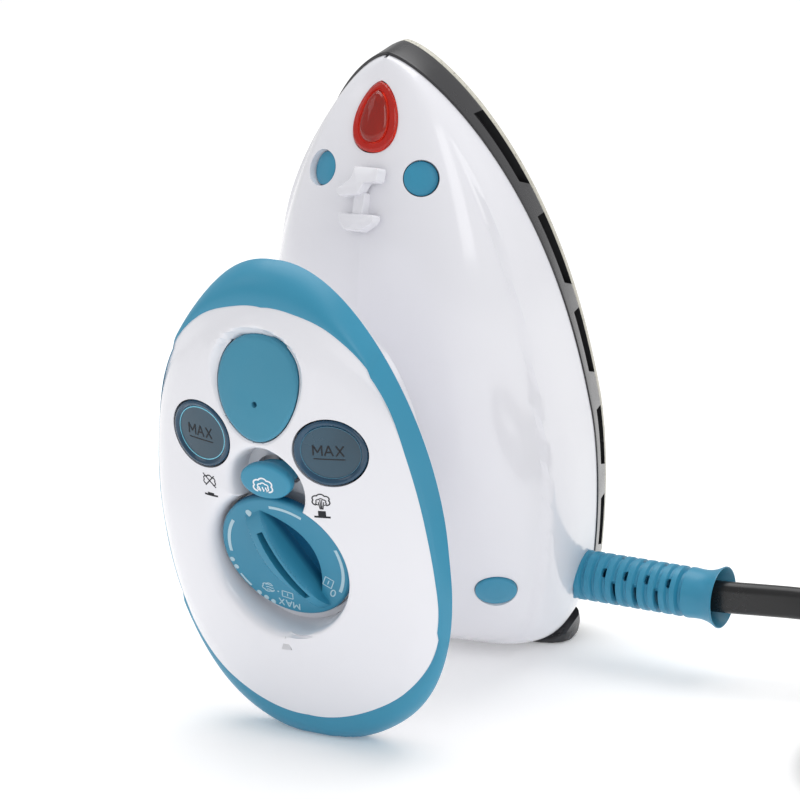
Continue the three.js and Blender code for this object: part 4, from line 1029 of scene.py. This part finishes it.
def seat_height(x, l, gap):
    """Face with the fill cap's seat sunk in it: a raised lip and a rounded edge, deeper towards the nose."""
    nose_side = smooth(-6, 10, l - FILL_AT)
    lip = 0.5 * nose_side * np.exp(-((gap - 2.6) / 1.5) ** 2)
    dish = -(0.35 + 1.7 * nose_side) * (1 - smooth(0.2, 0.9 + 1.6 * nose_side, gap))
    around = crown(x, l) + lip + np.where(gap < 3.5, dish, 0)
    return np.where(gap < 0.28, crown(x, l) - 2.1 - CAP_SUNK * nose_side, around)


def face_height(x, l):
    """Height of the face with its seat, its well, the button's recess and the bore for the button's stem."""
    base = seat_height(x, l, fill_distance(x, l))
    well = well_surface(x, l, base)
    walls = [0, RECESS_RADIUS - 0.05, RECESS_RADIUS + 0.04, 20]
    recess = np.interp(recess_radius(x, l), walls, [RECESS_FLOOR, RECESS_FLOOR, 16, 120])
    in_bore = np.hypot(x / BORE_HALF_WIDTH, (l - BUTTON_AT) / BORE_HALF_LENGTH)
    low = RECESS_FLOOR - BORE_DEPTH
    bore = np.interp(in_bore, [0, 0.985, 1.015, 12], [low, low, 100, 4000])
    top = np.minimum(base - face_lips(x, l, base), np.minimum(well, recess))
    return np.minimum(top, bore)


def on_dial(point, w):
    """A point of the dial's plan at a height on the iron, in the grip's frame."""
    return IRON_IN_GRIP @ Vector((point[0], DIAL_AT + point[1], w))


def dial_plan(radius, w):
    """Plan in the grip's frame of a circle round the dial's axis at a height on the iron."""
    return [tuple(on_dial(point, w).xy) for point in circle(radius, 180)]


def lip_ring(radius):
    """Plan of a circle round the dial's axis where it meets the crowned face."""
    ring = []
    for point in circle(radius, 180):
        w = DIAL_TOP + 4
        for _ in range(4):
            p = on_dial(point, w)
            w = (GRIP_IN_IRON @ Vector((p.x, p.y, float(crown(p.x, p.y))))).z
        ring.append((p.x, p.y))
    return ring


def face_points():
    """Plan points of the face's mesh: an open grid, with dense rings wherever the surface turns."""
    fine = []
    wall = [(-2, 0), (-0.4, 0), (-0.1, 0), (-0.03, 0), (0, 0.4), (0.04, 2), (0.08, 3.5), (0.12, 5), (0.16, 6.5),
            (0.2, 8)]
    for grow, rise in wall:
        fine += dial_plan(WELL_RADIUS + grow, WELL_FLOOR + rise)
    for grow in (0.16, 0.25, 0.38, 0.55, 0.8, 1.0, 1.3, 1.7, 2.2, 2.8, 3.5, 4.3):
        fine += lip_ring(WELL_RADIUS + grow)
    for size in (0.95, 0.98, 0.99, 1, 1.01, 1.02, 1.06):
        fine += ellipse(BORE_HALF_WIDTH * size, BORE_HALF_LENGTH * size, 90, (0, BUTTON_AT))
    for grow in (-0.6, -0.1, -0.05, 0, 0.05, 0.14, 0.3, 0.5, 0.8, 1.2, 1.7, 2.3):
        fine += circle(RECESS_RADIUS + grow, 150, RECESS_AT)
    for grow in (-0.6, 0.15, 0.24, 0.32, 0.5, 0.75, 1.0, 1.3, 1.7, 2.1, 2.6, 3.2, 4.0):
        fine += fill_ring(grow)
    for grow in (0.2, 0.5, 1.1):
        fine += circle(PORT_RADIUS + grow, 60, (0, PORT_AT))
    for side in SIDES.values():
        for grow in (0.42, 0.6, 0.9, 1.4):
            fine += window_ring(side, grow)
    near = np.array(fine)
    points = [(x + 0.5 * (round(l) % 2), l) for x in np.arange(-36, 36.1, 1.0) for l in np.arange(-52, 50, 1.0)]
    coarse = [p for p in points if np.min(np.hypot(near[:, 0] - p[0], near[:, 1] - p[1])) > 0.5]
    return coarse + fine


def shrunk(outline, size):
    """The face's outline drawn in towards its middle."""
    return [(x * size, FACE_SHIFT + (l - FACE_SHIFT) * size) for x, l in outline]


def make_face():
    """White crowned face with the dial well, the button recess, the fill seat and the two windows cut in it."""
    outline = [(x, l) for x, l, _ in egg(FACE_HALF_WIDTH, FACE_HALF_LENGTH, 0, FACE_SHIFT, 360, face_reach)]
    port = circle(PORT_RADIUS, 60, (0, PORT_AT))
    sizes = (0.86, 0.88, 0.9, 0.915, 0.93, 0.945, 0.957, 0.967, 0.976, 0.984, 0.99, 0.995)
    rim = [point for size in sizes for point in shrunk(outline, size) if fill_distance(*point) > 0.6]
    scattered = np.array(face_points())
    keep = inside(scattered, shrunk(outline, 0.85))
    for hole in (port, window_ring(-1, 0.4), window_ring(1, 0.4)):
        keep &= ~inside(scattered, hole)
    points = [tuple(p) for p in scattered[keep]] + rim
    holes = [port, window_ring(-1, 0.3), window_ring(1, 0.3)]
    face = relief("face_cover", points, face_surface, outline, holes, GRIP, 38)
    finish_piece(face, "iron", "shell_white", "face_plate")


def face_surface(x, l):
    return face_height(x, l) - edge_roll(x, l)


def edge_roll(x, l):
    """Rolls the face down towards its edge."""
    angle = face_angle(x, l)
    ring = np.hypot(x / FACE_HALF_WIDTH, (l - FACE_SHIFT) / FACE_HALF_LENGTH)
    skew = 1 - GRIP_EGG * (l - FACE_SHIFT) / FACE_HALF_LENGTH * np.minimum(1, np.abs(x) / 20)
    share = ring / (face_size(angle) * skew)
    return face_edge_drop(angle) * np.clip((share - 0.84) / 0.16, 0, 1.1) ** 2.2


# ---------------------------------------------------------------- printed marks
LETTERS = {
    "M": [[(0, 0), (0, 1), (0.42, 0.3), (0.84, 1), (0.84, 0)]],
    "A": [[(0, 0), (0.4, 1), (0.8, 0)], [(0.16, 0.36), (0.64, 0.36)]],
    "X": [[(0, 0), (0.72, 1)], [(0, 1), (0.72, 0)]],
}


def lettering(text, size, centre, turn=0):
    """Stroke letters of a height, centred on a point."""
    pitch, gap = 1.08, 0.26
    c, s = size * math.cos(turn), size * math.sin(turn)
    half = (pitch * len(text) - gap) / 2
    lines = []
    for k, letter in enumerate(text):
        for line in LETTERS[letter]:
            moved = [(x + pitch * k - half, y - 0.5) for x, y in line]
            lines.append([(centre[0] + x * c - y * s, centre[1] + x * s + y * c) for x, y in moved])
    return lines


def arc(radius, start, end):
    """Arc round the dial's middle between two angles in degrees."""
    return [(radius * math.cos(a), radius * math.sin(a)) for a in np.radians(np.linspace(start, end, 25))]


def strokes(line):
    """Bars of a line: one for a curve or a plain bar, and one for each span of a lettered line."""
    line = np.array(line, float)
    if len(line) > 5:
        return [line]
    if len(line) > 2:
        return [even(line[i:i + 2], 6) for i in range(len(line) - 1)]
    return [even(line, max(2, int(np.linalg.norm(line[1] - line[0]) / 0.35) + 1))]


def ribbon(line, width, height, low=0.12, high=0.05):
    """Raised line of print along a path on a surface."""
    points, faces = [], []
    for part in strokes(line):
        along = np.gradient(part, axis=0)
        along /= np.linalg.norm(along, axis=1)[:, None]
        side = np.stack([-along[:, 1], along[:, 0]], 1) * width / 2
        start, end = len(points), len(points) + 4 * (len(part) - 1)
        for a, b in zip(part + side, part - side):
            ha, hb = (float(height(*p[:, None])[0]) for p in (a, b))
            points += [(*a, ha + high), (*b, hb + high), (*b, hb - low), (*a, ha - low)]
        for base in range(start, end, 4):
            faces += [(base + i, base + (i + 1) % 4, base + 4 + (i + 1) % 4, base + 4 + i) for i in range(4)]
        faces += [tuple(start + i for i in (3, 2, 1, 0)), tuple(end + i for i in range(4))]
    return points, faces


def patch(outline, height, low=0.12, high=0.05):
    """Raised filled shape of print on a surface."""
    count = len(outline)
    top = [(x, y, float(height(np.array([x]), np.array([y]))[0]) + high) for x, y in outline]
    points = top + [(x, y, h - high - low) for x, y, h in top]
    faces = [tuple(range(count)), tuple(range(2 * count - 1, count - 1, -1))]
    faces += [(i, i + count, (i + 1) % count + count, (i + 1) % count) for i in range(count)]
    return points, faces


def printed(name, shapes, place, body, slot, look):
    """One piece from many ribbons and patches."""
    points, faces = [], []
    for shape_points, shape_faces in shapes:
        faces += [tuple(i + len(points) for i in face) for face in shape_faces]
        points += shape_points
    finish_piece(mesh_object(name, points, faces, place, 20), body, slot, look=look)


def cloud(centre, size, turn=0):
    """Outline of a steam cloud made of round lobes, open at the bottom."""
    out, lobe = 0.72 * size, 0.52 * size
    at = np.linspace(-25, 205, 5)
    line = []
    for a in np.linspace(-52, 232, 96):
        off = np.radians(a - at)
        away = out * np.sin(off)
        hit = np.where(np.abs(away) < lobe, out * np.cos(off) + np.sqrt(np.maximum(lobe**2 - away**2, 0)), 0)
        reach, angle = float(hit.max()), math.radians(a + turn)
        line.append((centre[0] + 1.15 * reach * math.cos(angle), centre[1] + 0.85 * reach * math.sin(angle)))
    return line


def wisp(x, low, high):
    """Curling line of steam."""
    return [(x + 0.16 * math.sin(6 * t), low + (high - low) * t) for t in np.linspace(0, 1, 9)]


# ---------------------------------------------------------------- windows, fill cap and button
def window_depth(x, l, side):
    """About how far a point is inside a window's outline."""
    across, along = (x - side * WINDOW_SIDE) / WINDOW_HALF_WIDTH, (l - WINDOW_AT) / WINDOW_HALF_LENGTH
    return 7.6 * (1 - np.hypot(across, along))


def bezel_height(side):
    """Height field of a window's thick bevelled ring."""
    depths, rises = [0, 0.1, 0.35, 0.7, 1.25, 1.5, 9], [-0.5, -0.1, 0.15, 0.18, -0.25, -0.6, -0.6]
    return lambda x, l: crown(x, l) + np.interp(window_depth(x, l, side), depths, rises)


def pane_height(x, l):
    return crown(x, l) - PANE_SUNK


def make_windows():
    """Smoked window with a thick bevelled ring, a sunken pane, a painted glint round the pane's edge and its
    printed level mark.
    """
    # painted highlight: a thin bright ring along each pane's edge, narrower and dimmer on the right window
    painted_glints = {"left": (0.2, "glint"), "right": (0.12, "glint_dim")}
    for hand, side in SIDES.items():
        name = f"level_window_{hand}"
        grows = (-0.05, -0.12, -0.22, -0.35, -0.5, -0.7, -0.95, -1.2, -1.35, -1.5, -1.7, -3, -5)
        points = [p for grow in grows for p in window_ring(side, grow)]
        bezel = relief(f"{name}_ring", points, bezel_height(side), window_ring(side, 0), [], GRIP, 40)
        finish_piece(bezel, "iron", "tank_blue", name, look="window_ring")
        points = [p for grow in (-1.75, -3, -5, -7) for p in window_ring(side, grow)]
        pane = relief(f"{name}_pane", points, pane_height, window_ring(side, -1.6), [], GRIP, 40, 0.4)
        finish_piece(pane, "iron", "tank_blue", look="window_pane")
        rim = window_ring(side, -1.5)
        width, look = painted_glints[hand]
        glint = ribbon(rim + rim[:1], width, pane_height, 0.1, 0.12)
        printed(f"{name}_glint", [glint], GRIP, "iron", "tank_blue", look)
        x, l = side * WINDOW_SIDE - 0.3, WINDOW_AT + 0.4
        lines = [ribbon(line, 0.3, pane_height) for line in lettering("MAX", 2.3, (x, l))]
        lines.append(ribbon([(x - 3.4, l - 1.9), (x + 3.4, l - 1.9)], 0.22, pane_height))
        printed(f"{name}_mark", lines, GRIP, "iron", "tank_blue", "print_dark")


def cap_height(x, l):
    """Top of the rubber lid, rounded at its edge and sunk deeper towards the nose, with its vent hole."""
    sunk = CAP_SUNK * smooth(-6, 10, l - FILL_AT)
    edge = np.clip(-fill_distance(x, l), 0, 1)
    vent = 1 - smooth(0.5, 0.68, np.hypot(x - VENT_AT[0], l - VENT_AT[1]))
    return crown(x, l) + 0.15 - sunk - 0.45 * (1 - edge) ** 2.4 - 1.3 * vent


def make_fill_cap():
    """Matte rubber lid with a soft edge and a small vent hole, and the stopper below it."""
    grid = [(x, l) for x in np.arange(-11, 10.1, 0.9) for l in np.arange(FILL_AT - 12, FILL_AT + 12, 0.9)]
    grid = np.array(grid)
    points = [tuple(p) for p in grid[inside(grid, fill_ring(-1.1))]]
    points += [p for grow in (-0.05, -0.13, -0.25, -0.4, -0.6, -0.8, -1.0) for p in fill_ring(grow)]
    points += [p for radius in (0.45, 0.5, 0.56, 0.62, 0.7, 0.9) for p in circle(radius, 28, VENT_AT)]
    lid = relief("fill_cap_lid", points, cap_height, fill_ring(0), [], GRIP, 40, 1.9)
    finish_piece(lid, "filler", "cap_rubber", "fill_cap")
    pairs = rounded([(0, 4.6), (3.3, 4.6), (3.6, 5.4), (3.6, 10), (0, 10)], 0.4)
    stopper = lathe("fill_cap_stopper", pairs, 48, GRIP @ Matrix.Translation((0, PORT_AT, 0)))
    finish_piece(stopper, "filler", "cap_rubber")


def oval(grow):
    """The button's outline, widened."""
    return ellipse(BUTTON_HALF_WIDTH + grow, BUTTON_HALF_LENGTH + grow, 96)


def make_button():
    """Oval push button on an oval stem that is hollow for the spring, with a steam cloud printed on it."""
    place = GRIP @ Matrix.Translation((0, BUTTON_AT, 0))
    levels = [(-0.6, -2.5), (-0.15, -2.35), (0, -1.9), (0, -0.55), (-0.15, -0.22), (-0.45, -0.06), (-0.9, 0),
              (-2, 0.04), (-3.4, 0.06)]
    head = stack("steam_button_head", oval, [(grow, BUTTON_TOP + z) for grow, z in levels], place, 40)
    bottom, hollow = 6.05, circle(2.4, 96)
    outside = [(-1.35, BUTTON_TOP - 2.2), (-1.35, bottom + 0.15), (-1.5, bottom)]
    rings = [lifted(oval(grow), z) for grow, z in outside] + [lifted(hollow, z) for z in (bottom, 9.4)]
    join(head, loft("stem", rings, place, 40))
    finish_piece(head, "button", "trim_blue", "steam_button")

    def height(x, _):
        return np.full(len(x), BUTTON_TOP + 0.03)

    shapes = [ribbon(cloud((-0.5, -1.0), 1.75), 0.36, height), ribbon(cloud((-0.5, -1.3), 1.0), 0.3, height)]
    shapes += [ribbon(wisp(x, -2.2, -1.2), 0.3, height) for x in (-1.3, -0.5, 0.3)]
    printed("steam_button_icon", shapes, place, "button", "shell_white", "print_white")


def make_face_icons():
    """Printed signs beside the button: no steam on one side, a burst of steam on the other."""
    def at(x, l, lines):
        return [[(x + dx, l + dl) for dx, dl in line] for line in lines]

    off, on = (-14.6, 6.6), (13.2, 5.9)
    drawn = [(cloud((off[0], off[1] + 1.1), 1.25), 0.24), (cloud((on[0], on[1] + 1.5), 1.45), 0.26),
             (cloud((on[0], on[1] + 1.1), 0.85), 0.2)]
    cross = [[(-1.7, 2.6), (1.7, -0.2)], [(1.4, 2.5), (-1.2, -0.1)]]
    jets = [[(0.5 * dx, -0.5), (dx, top)] for dx, top in ((-0.6, 1.2), (-0.2, 1.7), (0.2, 1.7), (0.6, 1.2))]
    base = [[(-1.8, -2.3), (1.8, -2.3)]]
    drawn += [(line, 0.24) for line in at(*off, cross)] + [(line, 0.18) for line in at(*on, jets)]
    drawn += [(line, 0.4) for spot in (off, on) for line in at(*spot, base)]
    shapes = [ribbon(line, width, face_height) for line, width in drawn]
    shapes += [sign_button(off, 0.5), sign_button(on, 1.3)]
    printed("steam_signs", shapes, GRIP, "iron", "shell_white", "print_dark")
    pointer = patch([(-1.0, -28.5), (0.3, -31.6), (-2.3, -31.8)], face_height, 0.3, 0.22)
    printed("dial_pointer", [pointer], GRIP, "iron", "shell_white", "pointer_grey")


def sign_button(at, tall):
    """Small filled push button sign."""
    x, y = at[0], at[1] - 2.2
    return patch([(x - 0.85, y), (x + 0.85, y), (x + 0.85, y + tall), (x - 0.85, y + tall)], face_height)


# ---------------------------------------------------------------- temperature dial
RIDGE_TURN = math.radians(118)
RIDGE_HALF, RIDGE_SIDE, RIDGE_HEIGHT = 13.2, -2.33, 3.7
SLOT_AT, SLOT_HALF, SCOOP_DEPTH = -0.6, 8.8, 2.4


def crest_left(along):
    """How far the ridge's crest reaches on the side away from the scoop."""
    return np.interp(along, [-13, -8.6, -4.8, -0.4, 4.4, 8.6, 13], [0.1, 0.6, 1.5, 2.4, 2.6, 2.2, 2.0])


def scoop_reach(along):
    """How far the scoop reaches out from the foot of the ridge."""
    return 6.3 * np.clip(1 - ((along - 0.8) / 11.6) ** 2, 0, 1)


def slot_edges(along):
    """Sides of the slot in the ridge's top."""
    half = 0.55 + 0.4 * np.clip(1 - (along / RIDGE_HALF) ** 2, 0, 1)
    return SLOT_AT - half, SLOT_AT + half


def scoop_wall(reach):
    """Thickness of the scoop's steep side under the ridge."""
    return 0.25 + 0.9 * np.minimum(reach, 3) / 3


def dial_height(x, y):
    """Flat disc with a rolled edge, a slotted finger ridge and a leaf-shaped scoop beside the ridge."""
    c, s = math.cos(RIDGE_TURN), math.sin(RIDGE_TURN)
    along, across = x * c + y * s, -x * s + y * c
    fall = np.clip(1 - ((along + 1) / RIDGE_HALF) ** 2, 0, 1)
    crest = RIDGE_HEIGHT * fall**0.7
    out = RIDGE_SIDE - across
    reach = scoop_reach(along)
    wall = scoop_wall(reach)
    bottom = -SCOOP_DEPTH * np.minimum(reach, 3) / 3
    drop = crest + (bottom - crest) * smooth(0, 1, out / wall)
    rise = np.clip((out - wall) / np.maximum(reach - wall, 1e-3), 0, 1)
    scoop = np.where(out < wall, drop, bottom * (1 - rise**2.2))
    left = crest_left(along)
    flank = crest * (1 - smooth(0, 1, (across - left) / (0.4 + 1.0 * fall)))
    over = np.minimum(across - RIDGE_SIDE, left - across)
    ridge = crest - 0.3 * np.clip(1 - over / 0.5, 0, 1) ** 2 * fall
    shape = np.where(across < RIDGE_SIDE, scoop, np.where(across < left, ridge, flank))
    low, high = slot_edges(along)
    slot = smooth(low - 0.1, low + 0.05, across) * (1 - smooth(high - 0.05, high + 0.1, across))
    slot = slot * (1 - smooth(SLOT_HALF - 0.3, SLOT_HALF + 0.1, np.abs(along + 0.6)))
    edge = np.clip((np.hypot(x, y) - (DIAL_RADIUS - 0.7)) / 0.7, 0, 1)
    return DIAL_TOP + shape - (crest + 0.9) * slot - 0.6 * edge**2.2


def ridge_lines(along):
    """Distances across the ridge where the dial's mesh needs points, at a place along it."""
    reach, left = float(scoop_reach(along)), float(crest_left(along))
    wall = float(scoop_wall(reach))
    low, high = slot_edges(along)
    scoop = [*np.linspace(0, wall, 7), *np.linspace(wall, max(reach, wall + 0.3), 10)[1:]]
    scoop += [reach + 0.12, reach + 0.3]
    slot = [low - 0.1, low - 0.02, low + 0.05, SLOT_AT, high - 0.05, high + 0.02, high + 0.1, high + 0.5]
    crest = [RIDGE_SIDE + 0.15, RIDGE_SIDE + 0.4, left - 0.5, left - 0.25, *np.linspace(left, left + 1.4, 7)]
    rest = [*np.arange(left + 2, 15, 0.9), *np.arange(RIDGE_SIDE - reach - 1.1, -15, -0.9)]
    return [RIDGE_SIDE - out for out in scoop] + slot + crest + rest


def make_dial():
    """Blue dial with its finger ridge and scoop."""
    points = [p for radius in (15.55, 15.4, 15.2, 15.0, 14.8, 14.5, 14) for p in circle(radius, 140)]
    c, s = math.cos(RIDGE_TURN), math.sin(RIDGE_TURN)
    for along in np.arange(-14.4, 14.5, 0.25):
        points += [(along * c - across * s, along * s + across * c) for across in ridge_lines(along)]
    points = np.unique(np.round(np.array(points), 3), axis=0)
    points = [tuple(p) for p in points[np.hypot(points[:, 0], points[:, 1]) < 15.58]]
    edge = circle(DIAL_RADIUS, 140)
    dial = relief("temperature_dial_knob", points, dial_height, edge, [], DIAL_FRAME, 30, 1.3)
    # the dial's material carries painted shade down in the scoop
    finish_piece(dial, "dial", "trim_blue", "temperature_dial", look="dial_blue_painted_shade")


def polar(radius, degrees):
    """Point at a distance and an angle from the dial's middle."""
    return radius * math.cos(math.radians(degrees)), radius * math.sin(math.radians(degrees))


def make_dial_marks():
    """Pale scale on the dial: arcs, dots and dashes, the zero, the strongest setting and two small signs."""
    arcs = [(13.7, 144, 183, 0.75), (13.3, 60, 94, 0.7), (14.1, -31, 17.8, 0.75), (14.5, -152, -138, 0.5)]
    dots = [(12.7, 121, 0.75), (14.4, -167.5, 0.6), (14.4, -159.5, 0.6), (14.6, -129, 0.6), (14.6, -121.5, 0.6),
            (14.6, -114.5, 0.6), (11.0, -112, 0.2)]
    shapes = [ribbon(arc(*line), width, dial_height) for *line, width in arcs]
    shapes += [patch(circle(size, 20, polar(*at)), dial_height) for *at, size in dots]
    x, y = polar(12.9, -38)
    zero = [(x + 0.55 * math.cos(a) + 0.35 * math.sin(a), y + 0.9 * math.sin(a)) for a in [*turns(20), 0]]
    x, y = polar(11.4, -124)
    wisps = [[(x + 0.3 + up, y + across) for across, up in wisp(lift, -0.9, 0.9)] for lift in (-0.7, 0, 0.7)]
    strongest = lettering("MAX", 1.75, polar(13.4, -99), math.radians(171))
    boxes = tilted_box(polar(10.9, -28), 1.05, 1.25, -28) + tilted_box(polar(10.9, -100), 1.3, 0.8, -9)
    drawn = (([zero, *strongest], 0.28), ([cloud((x, y), 1.15, 100)], 0.24), ([*boxes, *wisps], 0.22))
    for lines, width in drawn:
        shapes += [ribbon(line, width, dial_height) for line in lines]
    printed("temperature_dial_marks", shapes, DIAL_FRAME, "dial", "shell_white", "print_pale")


def tilted_box(centre, half_x, half_y, degrees):
    """Lines of a box sign with a bar inside."""
    c, s = math.cos(math.radians(degrees)), math.sin(math.radians(degrees))
    corners = [(-half_x, -half_y), (half_x, -half_y), (half_x, half_y), (-half_x, half_y), (-half_x, -half_y)]
    lines = [corners[i:i + 2] for i in range(4)] + [[(0, -half_y * 0.5), (0, half_y * 0.5)]]
    return [[(centre[0] + x * c - y * s, centre[1] + x * s + y * c) for x, y in line] for line in lines]


# ---------------------------------------------------------------- strain relief
RELIEF_FRAME = IRON @ Matrix.Translation((0, *RELIEF_AT)) @ Matrix.Rotation(math.pi / 2, 4, "Y")
RELIEF_MIDDLE = (38.7, 19.65)
GROOVES = [54 - 2.72 * k for k in range(11)]


def make_relief():
    """Ribbed rubber sleeve with slots between its ribs, a plain collar and a flared mouth."""
    out, bore = RELIEF_RADIUS, 4.4
    pairs = [(bore, RELIEF_START - 3), (5.7, RELIEF_START - 3)]
    for k, at in reversed(list(enumerate(GROOVES))):
        deep, wide = (0.95, 0.62) if k == 0 else (0.62, 0.5)
        half = [(out, 0.95), (out - 0.02, wide + 0.2), (out - deep * 0.5, wide), (out - deep, 0.3)]
        pairs += [(r, at - z) for r, z in half] + [(r, at + z) for r, z in half[:0:-1]]
    pairs += [(5.9, 55.4), (5.75, 57), (5.72, 58.2), (5.85, 59.4), (6.15, 60.6), (6.6, 61.7), (7.0, 62.5),
              (7.18, 62.8), (7.15, 63), (6.95, 63), (6.6, 62.4), (6.0, 61.2), (5.2, 59.6), (4.6, 58),
              (bore, 56), (bore, RELIEF_START - 3)]
    sleeve = mesh_object("strain_relief_sleeve", *skin(turned_rings(pairs, 96), caps=False), RELIEF_FRAME, 40)
    for k in range(1, 8):
        turn, half = (38, 4.6) if k % 2 == 0 else (-32, 1.15)
        for face in (0, 180):
            cut(sleeve, relief_slot(GROOVES[k], face + turn, half))
    shade(sleeve, 40)
    finish_piece(sleeve, "iron", "trim_blue", "strain_relief")


def relief_slot(at, degrees, half):
    """Cutter for a round-ended slot that runs round the sleeve at a rib groove."""
    around = np.linspace(-math.pi / 2, math.pi / 2, 9)
    ring = [(half - 0.6 + 0.6 * math.cos(a), 0.6 * math.sin(a)) for a in around]
    ring += [(-x, -y) for x, y in ring]
    turn = Matrix.Rotation(math.radians(degrees), 4, "X")
    out, side = turn @ Vector((0, -1, 0)), turn @ Vector((0, 0, 1))
    rings = [[tuple(side * u + out * depth + Vector((v, 0, 0))) for u, v in ring] for depth in (3.2, 9)]
    return loft("cut_relief", rings, Matrix.Translation((at, *RELIEF_MIDDLE)))


# ---------------------------------------------------------------- the whole model
MATERIALS = make_materials()
make_camera()
make_studio()
dress_cad_nodes()
make_cord()
make_body()
make_screw_covers()
make_lens()
make_cleat()
make_soleplate()
make_skirt()
make_heel_rest()
make_bowl()
make_band()
make_face()
make_windows()
make_fill_cap()
make_button()
make_face_icons()
make_dial()
make_dial_marks()
make_relief()
